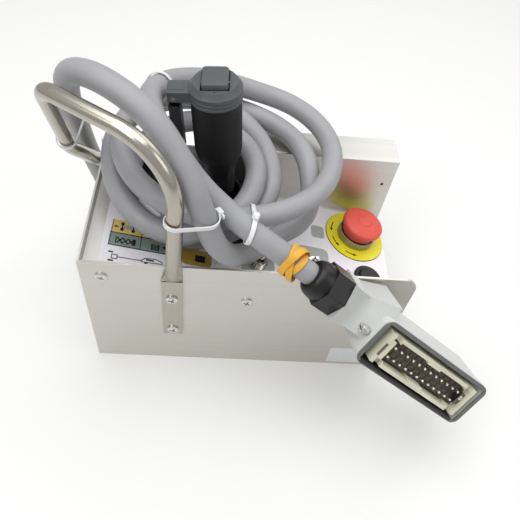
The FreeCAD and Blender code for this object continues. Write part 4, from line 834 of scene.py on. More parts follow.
@dataclass
class Handle:
    """Bent carry handle with flattened feet, screwed on at places in X and Z."""

    looks: Finishes
    near_screws: tuple[Pair, ...] = ((72.5, 59.0), (72.5, 106.71))
    far_screws: tuple[Pair, ...] = ((52.0, 55.0), (52.0, 67.0))
    strap: float = 3.2
    far_face: float = 128.0
    head: Pair = (5.0, 2.8)
    shank: Pair = (2.5, 9.2)
    crease: float = 40.0

    def build(self) -> None:
        """Dress the handle and build its cross-recessed screws."""
        dress("carry_handle", self.looks.tube, sharp=self.crease)
        dress("handle_nuts", self.looks.bright)
        screw = Fastener(*self.head, *self.shank, Recess.CROSS).skin()
        skins = [screw.at(facing_near(x, -self.strap, z)) for x, z in self.near_screws]
        skins += [screw.at(facing_far(x, self.far_face + self.strap, z)) for x, z in self.far_screws]
        make_piece("handle_cross_screws", sum_skins(skins), self.looks.screw, ROOT,
                   ("handle_screws",))


@dataclass
class Legend:
    """Printed sheet on the panel with generic pictograms, laid out in box X and Y.

    A block or a stroke is given by two corners or ends, and where it has one, by its corner
    radius or its width. An arrow is its tail, its length and the way it points.
    """

    looks: Finishes
    thick: float = 0.12
    straw: Corners = (19.0, 42.5, 92.0, 56.2)
    sage: Corners = (18.0, 29.0, 92.0, 41.8)
    ochre: Corners = (78.0, 22.7, 103.0, 39.2)
    ochre_round: float = 4.0
    switch_fields: tuple[tuple[Corners, float], ...] = (
        ((181.0, 33.0, 212.0, 69.0), 6.0), ((129.0, 24.0, 159.0, 50.0), 6.0),
        ((197.0, 82.0, 210.0, 97.0), 3.0), ((118.0, 111.0, 140.0, 121.5), 2.0),
    )
    frames: tuple[tuple[Corners, float], ...] = (
        ((18.0, 42.2, 92.0, 42.2), 0.8), ((18.0, 28.8, 92.0, 28.8), 0.8), ((43.4, 29.0, 43.4, 56.0), 0.6),
        ((18.6, 29.0, 19.0, 56.2), 0.6), ((131.7, 119.5, 133.8, 112.0), 1.6),
    )
    wheel: Pair = (2.6, 3.0)
    wheel_round: float = 0.5
    wheels_x: Pair = (25.5, 34.6)
    wheels_y: Pair = (45.0, 51.0)
    axle_width: float = 1.0
    deck: Corners = (27.6, 47.6, 35.4, 51.4)
    deck_round: float = 0.4
    lattice_x: Pair = (24.5, 28.9)
    lattice_y: Pair = (31.8, 37.4)
    lattice_pitch: float = 4.4
    lattice_cells: int = 3
    lattice_width: float = 0.9
    lattice_rail: Corners = (23.6, 31.2, 23.6, 38.0)
    lattice_deck: Corners = (36.9, 31.4, 39.4, 37.8)
    square: Corners = (52.0, 30.8, 58.8, 36.8)
    lines_x: Pair = (53.2, 57.6)
    lines_y: float = 31.8
    line_pitch: float = 1.4
    line_count: int = 4
    line_width: float = 0.4
    arrows: tuple[tuple[float, float, float, int], ...] = (
        (23.8, 48.8, 3.4, -1), (49.0, 49.0, 5.0, 1), (66.0, 35.0, 5.0, -1),
    )
    arrow_head: Pair = (0.5, 0.42)
    arrow_shaft: float = 0.14
    tow_bar: Corners = (27.0, 17.4, 46.0, 17.8)
    tow_width: float = 0.6
    cab: tuple[Pair, ...] = (
        (46.0, 18.4), (49.0, 21.0), (57.0, 21.6), (62.5, 19.4), (63.0, 17.6), (46.0, 16.8), (46.0, 18.4),
    )
    cab_width: float = 0.55
    cab_window: Corners = (49.5, 18.9, 56.0, 20.3)
    cab_round: float = 0.5
    cab_wheels: tuple[Pair, ...] = ((50.0, 15.6), (59.5, 15.6))
    cab_wheel: float = 1.5
    crate_box: Corners = (22.6, 15.3, 27.0, 19.3)
    crate_width: float = 0.6
    hooks: tuple[Corners, ...] = ((19.5, 21.0, 23.4, 22.2), (20.2, 12.4, 24.6, 13.8))
    tile: Corners = (89.0, 26.8, 97.4, 33.8)

    def patch(self, name: str, outlines: list[np.ndarray], material: Material, layer: int = 1) -> None:
        """Lay closed outlines, in box X and Y (mm), on the legend sheet.

        Args:
            name: Piece name.
            outlines: Closed outlines on the panel.
            material: Print colour.
            layer: Printing order, higher lies on top.
        """
        low = LEGEND_TOP + PRINT_LIFT
        high = LEGEND_TOP + self.thick * layer
        flat = [slab(np.c_[o[:, 0] / math.cos(PANEL_SLOPE), o[:, 1]], low, high) for o in outlines]
        make_piece(name, sum_skins(flat).at(on_panel(0.0, 0.0)), material, ROOT)

    def block(self, x0: float, y0: float, x1: float, y1: float, radius: float = 0.3) -> np.ndarray:
        """Return a rounded block outline between two corners on the panel."""
        return rounded_box(x1 - x0, y1 - y0, radius) + np.array([(x0 + x1) / 2, (y0 + y1) / 2])

    def bar(self, x0: float, y0: float, x1: float, y1: float, width: float = 0.8) -> np.ndarray:
        """Draw a straight stroke between two points on the panel.

        Args:
            x0: First end along X.
            y0: First end along Y.
            x1: Second end along X.
            y1: Second end along Y.
            width: Width of the stroke.

        Returns:
            Its outline: each end plus and minus half the width across the stroke.
        """
        along = np.array([x1 - x0, y1 - y0])
        along /= np.linalg.norm(along)
        side = np.array([-along[1], along[0]]) * width / 2
        ends = np.array([[x0, y0], [x1, y1]])
        return np.vstack([ends - side, (ends + side)[::-1]])

    def arrow(self, x: float, y: float, size: float, way: int) -> np.ndarray:
        """Draw an arrow along X.

        Args:
            x: Tail along X.
            y: Tail along Y.
            size: Length.
            way: 1 to point along +X, -1 along -X.

        Returns:
            Its outline.
        """
        neck, barb = self.arrow_head
        upper = np.array([[0.0, self.arrow_shaft], [neck, self.arrow_shaft], [neck, barb]])
        lower = upper[::-1] * np.array([1.0, -1.0])
        outline = np.vstack([upper, [[1.0, 0.0]], lower])
        return outline[::way] * np.array([way * size, size]) + np.array([x, y])

    def fields(self) -> None:
        """Print the coloured strips and the fields round the switches."""
        looks = self.looks
        self.patch("print_straw", [self.block(*self.straw)], looks.straw)
        self.patch("print_sage", [self.block(*self.sage)], looks.sage)
        self.patch("print_ochre", [self.block(*self.ochre, self.ochre_round)], looks.ochre, 2)
        switches = [self.block(*corners, radius) for corners, radius in self.switch_fields]
        self.patch("print_switch_fields", switches, looks.mist)
        frames = [self.bar(*ends, width) for ends, width in self.frames]
        self.patch("print_frames", frames, looks.ink, 2)

    def vehicle(self) -> list[np.ndarray]:
        """Draw the wheels and axles of the vehicle seen from above.

        Returns:
            Their outlines.
        """
        long, wide = self.wheel
        low, high = self.wheels_y
        wheels = [self.block(x, y, x + long, y + wide, self.wheel_round)
                  for x in self.wheels_x for y in self.wheels_y]
        axles = [self.bar(x + long / 2, low + wide / 2, x + long / 2, high + wide / 2, self.axle_width)
                 for x in self.wheels_x]
        return wheels + axles

    def lattice(self, start: float, end: float) -> list[np.ndarray]:
        """Return the lattice's strokes that run from one Y to another."""
        steps = self.lattice_pitch * np.arange(self.lattice_cells)
        x0, x1 = self.lattice_x
        return [self.bar(x0 + step, start, x1 + step, end, self.lattice_width) for step in steps]

    def tow(self) -> list[np.ndarray]:
        """Draw the towing truck.

        Returns:
            Outlines of its bar, window, body strokes and wheels.
        """
        body = [self.bar(*start, *end, self.cab_width) for start, end in zip(self.cab[:-1], self.cab[1:])]
        wheels = [disc(self.cab_wheel) + np.array(at) for at in self.cab_wheels]
        bar, window = self.bar(*self.tow_bar, self.tow_width), self.block(*self.cab_window, self.cab_round)
        return [bar, window] + body + wheels

    def crate(self) -> list[np.ndarray]:
        """Draw the open crate on the tow bar.

        Returns:
            Outlines of its four strokes, the upright ones reaching over the others' width.
        """
        x0, y0, x1, y1 = self.crate_box
        wide = self.crate_width
        level_bars = [self.bar(x0, y, x1, y, wide) for y in (y0, y1)]
        return level_bars + [self.bar(x, y0 - wide / 2, x, y1 + wide / 2, wide) for x in (x0, x1)]

    def pictograms(self) -> None:
        """Print the vehicle, lattice, square and tow pictograms."""
        looks = self.looks
        low, high = self.lattice_y
        dark = self.vehicle() + self.lattice(low, high)
        dark += [self.bar(*self.lattice_rail), self.block(*self.lattice_deck), self.block(*self.square)]
        dark += [self.arrow(*arrow) for arrow in self.arrows] + self.tow() + self.crate()
        dark += [self.block(*hook) for hook in self.hooks] + [self.block(*self.tile)]
        self.patch("print_pictograms", dark, looks.ink, 3)
        self.patch("print_lattice_back", self.lattice(high, low), looks.ink, 4)
        self.patch("print_vehicle_deck", [self.block(*self.deck, self.deck_round)], looks.mist, 4)
        x0, x1 = self.lines_x
        rows = self.lines_y + self.line_pitch * np.arange(self.line_count)
        lines = [self.bar(x0, y, x1, y, self.line_width) for y in rows]
        self.patch("print_square_lines", lines, looks.sage, 4)

    def build(self) -> None:
        """Dress the sheet and print it."""
        dress("legend_overlay", self.looks.legend)
        self.fields()
        self.pictograms()


@dataclass
class StopSwitch:
    """Mushroom stop button on its yellow disc; outlines are (radius, height) above the panel."""

    looks: Finishes
    at: Pair = (241.9, 93.2)
    head: float = 20.0
    head_rim: Pair = (18.8, 21.4)
    head_under: tuple[Pair, ...] = ((7.9, 8.3), (16.4, 8.3), (16.4, 14.4), (17.2, 15.4), (19.2, 17.4))
    head_crown: tuple[Pair, ...] = (
        (18.0, 22.9), (12.5, 24.3), (7.9, 24.85), (7.45, 24.3), (6.8, 24.3), (6.4, 24.9), (0.0, 25.0),
    )
    corner_steps: int = 6
    corner_ease: float = 0.45
    around: int = 96
    crease: float = 50.0
    disc_radius: float = 30.0
    disc_thick: float = 1.2
    # Dark ring round the disc's edge, a painted shadow: its reach inside and outside the radius and its
    # heights.
    shadow_inside: float = 1.5
    shadow_outside: float = 0.35
    shadow_levels: Pair = (0.02, 0.5)
    arrow_starts: Point = (150.0, 195.0, 240.0)
    arrow_sweep: float = 20.0
    arrow_tip: float = 8.0
    arrow_steps: int = 10
    arrow_radii: Pair = (25.4, 24.4)
    barb_radii: Point = (26.6, 24.9, 23.2)
    arrow_levels: Pair = (0.01, 0.1)

    def mushroom(self) -> Skin:
        """Return the button head, its rounded outline carried round the switch's axis."""
        low, high = self.head_rim
        corners = [*self.head_under, (self.head, low), (self.head, high), *self.head_crown]
        return turned(smooth_profile(corners, self.corner_steps, self.corner_ease), self.around)

    def disc_edge_shadow(self) -> Skin:
        """Make the dark ring round the disc's edge, a painted shadow under the edge.

        Returns:
            A small box section carried round the disc.
        """
        inner, outer = self.disc_radius - self.shadow_inside, self.disc_radius + self.shadow_outside
        low, high = (LEGEND_TOP + rise for rise in self.shadow_levels)
        ring = np.array([[inner, low], [outer, low], [outer, high], [inner, high], [inner, low]])
        return turned(ring, self.around)

    def curved_arrow(self, start: float) -> Skin:
        """Bend a flat arrow round the disc.

        Args:
            start: Angle of its tail in degrees.

        Returns:
            The arrow: radius times (cos a, sin a) along both edges, with a tip between them.
        """
        top = LEGEND_TOP + self.disc_thick
        end = start + self.arrow_sweep
        a = np.radians(np.linspace(start, end, self.arrow_steps))
        tip = np.radians(np.array([end, end + self.arrow_tip, end]))
        ring = np.stack([np.cos(a), np.sin(a)], 1)
        barb = np.array(self.barb_radii)[:, None] * np.stack([np.cos(tip), np.sin(tip)], 1)
        outer, inner = self.arrow_radii
        low, high = self.arrow_levels
        return slab(np.vstack([outer * ring, barb, inner * ring[::-1]]), top + low, top + high)

    def build(self) -> None:
        """Dress the switch and build the button head, the painted shadow at the disc's edge and its arrows.
        """
        looks = self.looks
        place = on_panel(*self.at)
        dress("estop_legend_plate", looks.yellow, bevel=0.2)
        dress("estop_housing", looks.collar, bevel=0.3)
        dress("estop_stem", looks.bright)
        dress("estop_locknut", looks.black)
        dress("estop_contact_block", looks.black)
        make_piece("stop_button_head", self.mushroom().at(place), looks.red, "stop_button",
                   ("estop_button",), self.crease)
        # Dark ring just round the yellow disc: painted shadow of its edge.
        make_piece("stop_disc_edge_shadow", self.disc_edge_shadow().at(place), looks.rubber, ROOT)
        marks = [self.curved_arrow(start) for start in self.arrow_starts]
        make_piece("stop_disc_arrows", sum_skins(marks).at(place), looks.ink, ROOT)


@dataclass
class PanelSwitches:
    """Two toggles, the horn button and the sounder."""

    looks: Finishes
    lever_crease: float = 50.0

    def build(self) -> None:
        """Dress the switches."""
        looks = self.looks
        for which in ("low", "high"):
            dress("toggle_body_" + which, looks.bright, bevel=0.2)
            dress("toggle_nut_" + which, looks.bright, bevel=0.25)
            dress("toggle_lever_" + which, looks.bright, sharp=self.lever_crease)
        dress("horn_housing", looks.black, bevel=0.3)
        dress("horn_cap", looks.black, bevel=0.3)
        dress("horn_locknut", looks.black)
        dress("alarm_sounder", looks.black, bevel=0.2)


@dataclass
class Joystick:
    """Leaning joystick with ribbed grip, rocker and trigger; heights run up its own axis.

    The flare is (height, radius). Ribs start and end at a height and fade over a length, and
    on the flanks at a cosine with its own fade. The pinhole is its radius, its distance from
    the axis and its height. Key and cover are given by their sizes along X, Y and Z.
    """

    looks: Finishes
    neck: float = 12.4
    neck_soft: float = 0.6
    neck_levels: Point = (38.0, 39.0, 57.0)
    flare: tuple[Pair, ...] = (
        (61.0, 13.2), (78.0, 18.2), (83.0, 19.0), (110.0, 19.2), (128.9, 19.3), (129.5, 19.0),
    )
    bore: float = 6.0
    grip_rows: int = 360
    grip_around: int = 96
    rib: float = 0.32
    rib_pitch: float = 1.9
    rib_start: Pair = (70.0, 6.0)
    rib_end: Pair = (125.0, 4.0)
    rib_flank: Pair = (0.55, 0.12)
    pinhole: Point = (0.75, 14.3, 143.0)
    pinhole_levels: Point = (0.25, 0.2, -0.3)
    pinhole_flat: float = 0.7
    pinhole_around: int = 24
    key: Pair = (19.5, 23.5)
    key_levels: Point = (139.2, 142.6, 147.4)
    key_round: float = 2.6
    key_crease: float = 50.0
    foot_round: float = 1.0
    pin_room: float = 1.6
    cover: Point = (12.4, 7.8, 0.25)
    cover_round: float = 0.5
    cover_at: Point = (-29.0, 0.0, 137.48)

    def grip(self) -> Skin:
        """Work out the grip: the turned outline with fine ribs on its +X and -X flanks.

        The radius is r(z) - (rib - rib / 2 (1 + cos(2 pi z / pitch)) f(z)) w(a), where f
        fades the ribs out at both ends and w fades from 1 at the flanks to 0 between them.

        Returns:
            The closed grip.
        """
        low, soft_low, neck_top = self.neck_levels
        soft_high, high = self.flare[-2][0], self.flare[-1][0]
        z = np.concatenate([[low, low], np.linspace(soft_low, soft_high, self.grip_rows), [high, high]])
        neck = ((low, self.neck - self.neck_soft), (soft_low, self.neck), (neck_top, self.neck))
        r = np.interp(z, *np.array(neck + self.flare).T)
        r[0], r[-1] = self.bore, 0.0
        a = np.linspace(0.0, TURN, self.grip_around, endpoint=False)
        start, fade_in = self.rib_start
        end, fade_out = self.rib_end
        ribs = self.rib / 2 * (1 + np.cos(TURN * z / self.rib_pitch))
        ribs *= np.clip((z - start) / fade_in, 0, 1) * np.clip((end - z) / fade_out, 0, 1)
        edge, fade = self.rib_flank
        flank = np.clip((np.abs(np.cos(a)) - edge) / fade, 0, 1)
        groove = (self.rib - ribs)[:, None] * flank[None, :]
        radius = np.maximum(r[:, None] - groove, 0.0) * (r > 0)[:, None]
        points = np.stack([radius * np.cos(a), radius * np.sin(a), z[:, None] + 0 * a], -1)
        return Skin(points.reshape(-1, 3), grid_faces(len(z), len(a)))

    def rocker(self) -> Skin:
        """Make the rocker key.

        Returns:
            A rounded top on two feet that straddle its pin.
        """
        side, deep = self.key
        low, split, high = self.key_levels
        top = pad(side, deep, high - split, self.key_round).moved(0.0, 0.0, split)
        wide = deep / 2 - self.key_round - self.pin_room
        foot = slab(rounded_box(side - 2 * self.key_round, wide, self.foot_round), low, split)
        off = self.pin_room + wide / 2
        return sum_skins([top, foot.moved(0.0, -off, 0.0), foot.moved(0.0, off, 0.0)])

    def lug_cover(self) -> Skin:
        """Return the thin cover that closes the trigger lug's top."""
        long, wide, thick = self.cover
        return slab(rounded_box(long, wide, self.cover_round), 0.0, thick).moved(*self.cover_at)

    def painted_pinhole_shade(self) -> Skin:
        """Paint the shade of the pinhole in the cap's top as a dark low dome carried round its own axis.

        Returns:
            The closed dome.
        """
        radius, out, height = self.pinhole
        top, shoulder, under = self.pinhole_levels
        dome = [[0.0, top], [radius * self.pinhole_flat, shoulder], [radius, 0.0], [0.0, under]]
        return turned(np.array(dome), self.pinhole_around).moved(0.0, -out, height)

    def build(self) -> None:
        """Dress the joystick and build its ribbed grip, rocker, lug cover and the painted shade of its
        pinhole.
        """
        looks = self.looks
        for node, material, bevel, steps in (
            ("joystick_base", looks.black, 0.8, 2), ("joystick_boot", looks.rubber, 0.0, 2),
            ("joystick_housing", looks.black, 0.3, 2), ("pivot_pin", looks.bright, 0.0, 2),
            ("joystick_shaft", looks.bright, 0.0, 2), ("joystick_cap", looks.grey, 0.45, 3),
            ("rocker_pin", looks.clip, 0.0, 2), ("trigger_pin", looks.clip, 0.0, 2),
            ("enable_trigger", looks.black, 1.2, 3),
        ):
            dress(node, material, bevel, steps=steps)
        place = on_stick()
        make_piece("grip_sleeve", self.grip().at(place), looks.grip, "stick",
                   ("joystick_grip",))
        make_piece("rocker_key", self.rocker().at(place), looks.grey, "rocker",
                   ("steer_rocker",), self.key_crease)
        make_piece("lug_cover", self.lug_cover().at(place), looks.grey, "stick")
        # Black dome on the cap: painted shade of the pinhole.
        make_piece("cap_pinhole_painted_shade", self.painted_pinhole_shade().at(place), looks.black, "stick")


@dataclass
class Cable:
    """Control cable from the channel's gland, round the joystick, to the connector."""

    looks: Finishes
    diameter: float = 18.0
    length: float = 2.43
    steps: int = 3
    order: int = 3
    smooth: int = 8
    hood_run: tuple[Point, ...] = ((-80, 6, -29), (-122, 6, -29))
    head: tuple[Point, ...] = (
        (156.6, -2.1, 174), (132, 5.5, 188), (110, 19, 196.5), (91, 27, 211), (75, 32, 234), (57, 55, 243))
    reach: tuple[Point, ...] = (
        (49.5, 85, 243), (136, 177, 188), (207, 113, 172), (104, 22, 180), (21, 104, 190), (79, 161, 191),
        (153, 92, 161), (91, 36, 136), (28, 88, 159), (81, 139, 181), (138, 84, 173), (73, 23, 156),
        (12, 109, 172), (78, 177, 175), (185, 102, 169))
    tail: tuple[Point, ...] = (
        (187, 67, 140), (153, 45.9, 134), (125.5, 13.3, 146.5), (106, 2, 170), (94, 2, 212), (86, 7, 235),
        (66, 24, 263), (45, 38, 274), (18, 54, 278), (-3, 73, 264), (-11.5, 94, 227), (-17.5, 125, 180),
        (-19.5, 152, 121), (-9.2, 148, 90), (0, 146, 60), (23, 146, 43), (58, 143, 36), (84, 143, 36))

    def coil(self) -> np.ndarray:
        """Work out the coil's points: quarter ellipses from each reach to the next.

        From a side reach a to a front or back reach b, x = bx + (ax - bx) cos t and
        y = ay + (by - ay) sin t; from b to the next side the two swap. z runs evenly.

        Returns:
            Points of the coil in box millimetres.
        """
        a = np.array(self.reach[:-1], float)[:, None]
        b = np.array(self.reach[1:], float)[:, None]
        part = (np.arange(self.steps) / self.steps)[None, :]
        cos, sin = np.cos(math.pi / 2 * part), np.sin(math.pi / 2 * part)
        gap = b - a
        side = (np.arange(len(a)) % 2 == 0)[:, None]
        x = np.where(side, b[..., 0] - gap[..., 0] * cos, a[..., 0] + gap[..., 0] * sin)
        y = np.where(side, a[..., 1] + gap[..., 1] * sin, b[..., 1] - gap[..., 1] * cos)
        z = a[..., 2] + gap[..., 2] * part
        turns = np.stack([x, y, z], -1).reshape(-1, 3)
        return np.vstack([turns, np.array(self.reach[-1:], float)])

    def route(self) -> np.ndarray:
        """Join the cable's stretches from the channel's gland to the connector.

        Returns:
            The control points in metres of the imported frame.
        """
        start = on_hood().world(np.array(self.hood_run, float))
        rest = np.vstack([np.array(self.head, float), self.coil(), np.array(self.tail, float)])
        return np.vstack([start, in_box(rest)])[::-1] * MM

    def build(self, pieces: list[Object]) -> None:
        """Args:
            pieces: Connector, ties and band that go with the cable; not used.
        """
        points = self.route()
        curve = bpy.data.curves.new("cable_sheath", "CURVE")
        curve.dimensions = "3D"
        spline = curve.splines.new("NURBS")
        spline.points.add(len(points) - 1)
        spline.points.foreach_set("co", np.c_[points, np.ones(len(points))].ravel())
        spline.order_u = self.order
        spline.use_endpoint_u = True
        spline.resolution_u = self.smooth
        curve.bevel_depth = self.diameter / 2 * MM
        curve.bevel_resolution = self.smooth
        curve.use_fill_caps = True
        curve.materials.append(self.looks.sheath)
        cord = bpy.data.objects.new("cable_sheath", curve)
        show(cord)
        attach(cord, ROOT)
        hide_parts("cable")
        LOG.info("cable on %d points", len(points))


@dataclass(frozen=True)
class Tie:
    """One nylon tie pulled round two round bars, sizes in box millimetres.

    The head stands at a share of the way round. The cut end's width and height are shares
    of the band's width and the head's height.
    """

    first: Point
    first_radius: float
    second: Point
    second_radius: float
    along: Point
    head_at: float
    width: float = 3.6
    thick: float = 1.1
    corner: float = 0.4
    steps: int = 40
    head_size: Point = (6.4, 5.2, 4.4)
    head_round: float = 1.2
    stub: float = 3.5
    stub_sink: float = 0.5
    stub_round: float = 0.3
    stub_width: float = 0.8
    stub_height: float = 0.3

    def skin(self) -> Skin:
        """Work out the band, its head and the cut end that sticks out of it.

        The band's middle runs round the second bar from +lean to -lean and round the
        first bar the rest of the way: p = c + R (cos a across + sin a side), where
        cos lean = (R1 - R2) / gap.

        Returns:
            Band, head and cut end as one surface.
        """
        along = np.array(self.along) / np.linalg.norm(self.along)
        first, second = in_box(np.array([self.first, self.second]))
        across = second - first
        across -= along * (across @ along)
        gap = np.linalg.norm(across)
        across /= gap
        side = np.cross(along, across)
        lift = self.thick / 2
        lean = math.acos((self.first_radius - self.second_radius) / gap)
        half = self.steps
        angle = np.concatenate([np.linspace(lean, -lean, half), np.linspace(-lean, lean - TURN, half)])
        on_second = (np.arange(2 * half) < half)[:, None]
        middle = np.where(on_second, first + across * gap, first)
        radius = np.where(on_second, self.second_radius, self.first_radius) + lift
        out = np.cos(angle)[:, None] * across + np.sin(angle)[:, None] * side
        path = middle + radius * out
        band = swept(path, rounded_box(self.width, self.thick, self.corner, STRIP_STEPS), out)
        at = int(self.head_at * len(path))
        ahead = np.cross(out[at], along)
        seat = Place(np.stack([ahead, along, out[at]], 1), path[at])
        long, wide, high = self.head_size
        head = pad(long, wide, high, self.head_round).moved(0.0, 0.0, -lift)
        end = slab(rounded_box(self.stub, self.width * self.stub_width, self.stub_round), 0.0, self.thick)
        end = end.moved((long + self.stub) / 2 - self.stub_sink, 0.0, high * self.stub_height)
        return band + head.at(seat) + end.at(seat)


@dataclass
class CableTrim:
    """Nylon ties, rubber band and the two glands.

    Each loop of the band has its sway along the cable, its phase, its lift over the loop
    below and the bulge where it stands off.
    """

    looks: Finishes
    ties: tuple[Tie, ...] = (
        Tie((76.5, -6.5, 207), 7.0, (96.4, 2.2, 203.3), 10.0, (0.1, 0.06, 0.99), 0.22),
        Tie((130, 7.3, 188.4), 10.1, (129.7, 28.1, 178.6), 10.1, (-0.967, 0.09, 0.236), 0.5),
        Tie((-17.2, 87, 191.4), 7.0, (-14.6, 110.2, 202.5), 10.0, (-0.1, 0.52, -0.85), 0.25),
        Tie((55.2, 108, 233.8), 9.7, (55.6, 108, 234.0), 9.7, (11.6, 46, -18.3), 0.85),
    )
    tie_crease: float = 45.0
    tail: tuple[Point, Point] = ((41.8, 54.7, 161.6), (59.3, 43.4, 156.3))
    tail_up: Point = (-0.09, -0.61, 0.79)
    tail_strip: Pair = (3.6, 0.9)
    tail_round: float = 0.3
    band_at: Point = (164.6, -6.8, 170.9)
    band_along: Point = (-16.8, 10.7, 4.6)
    band_radius: float = 10.2
    band_strip: Pair = (5.4, 1.3)
    band_round: float = 0.6
    band_steps: int = 120
    band_crease: float = 60.0
    bulge_power: int = 6
    band_loops: tuple[Corners, ...] = ((5.0, 0.3, 0.0, 0.6), (5.4, 2.7, 1.5, 1.2), (4.0, 4.6, 2.6, 4.0))

    def tail_end(self) -> Skin:
        """Make the long cut end of a tie.

        Returns:
            A flat strip lying on the cable.
        """
        start, end = in_box(np.array(self.tail))
        long = np.linalg.norm(end - start)
        ahead = (end - start) / long
        across = np.cross(self.tail_up, ahead)
        across /= np.linalg.norm(across)
        wide, thick = self.tail_strip
        strip = slab(rounded_box(long, wide, self.tail_round), 0.0, thick)
        return strip.at(Place(np.stack([ahead, across, np.cross(ahead, across)], 1), (start + end) / 2))

    def band(self) -> Skin:
        """Work out the rubber band: crossing loops of a flat strip, one of them standing off.

        A loop's point is c + (R + w) (cos a u + sin a v) + s n, where the shift s along the
        cable is a sine of the angle and w lifts one loop over another.

        Returns:
            The loops as one surface.
        """
        n = np.array(self.band_along) / np.linalg.norm(self.band_along)
        u = np.cross(n, [0.0, 0.0, 1.0])
        u /= np.linalg.norm(u)
        v = np.cross(n, u)
        a = np.linspace(0.0, TURN, self.band_steps, endpoint=False)[:, None]
        spoke = np.cos(a) * u + np.sin(a) * v
        section = rounded_box(*self.band_strip, self.band_round, STRIP_STEPS)
        loops = []
        for sway, phase, lift, bulge in self.band_loops:
            stand = np.maximum(0.0, np.cos(a - phase)) ** self.bulge_power
            rise = self.band_radius + lift + bulge * stand
            path = in_box(np.array(self.band_at)) + rise * spoke + sway * np.sin(a + phase) * n
            loops.append(swept(path, section, spoke))
        return sum_skins(loops)

    def build(self) -> list[Object]:
        """Dress the glands and build the ties and the band.

        Returns:
            The pieces that go with the cable.
        """
        looks = self.looks
        for node in ("box_gland_body", "box_gland_nut", "box_gland_locknut"):
            dress(node, looks.nylon_black, bevel=0.4)
        ties = sum_skins([tie.skin() for tie in self.ties] + [self.tail_end()])
        return [
            dress("hood_gland_body", looks.nylon_black, bevel=0.7),
            dress("hood_gland_nut", looks.nylon_black, bevel=0.7),
            make_piece("nylon_ties", ties, looks.nylon, ROOT, ("cable_ties",),
                       self.tie_crease),
            make_piece("rubber_band_loops", self.band(), looks.band, ROOT, ("rubber_band",),
                       self.band_crease),
        ]


@dataclass(frozen=True)
class Block:
    """Round-cornered block in the connector's insert, placed on the rim plane."""

    size: Pair
    corner: float
    at: Pair
    top: float

    def skin(self, low: float) -> Skin:
        """Return the block from a height up to its top."""
        return slab(rounded_box(*self.size, self.corner), low, self.top).moved(*self.at, 0.0)


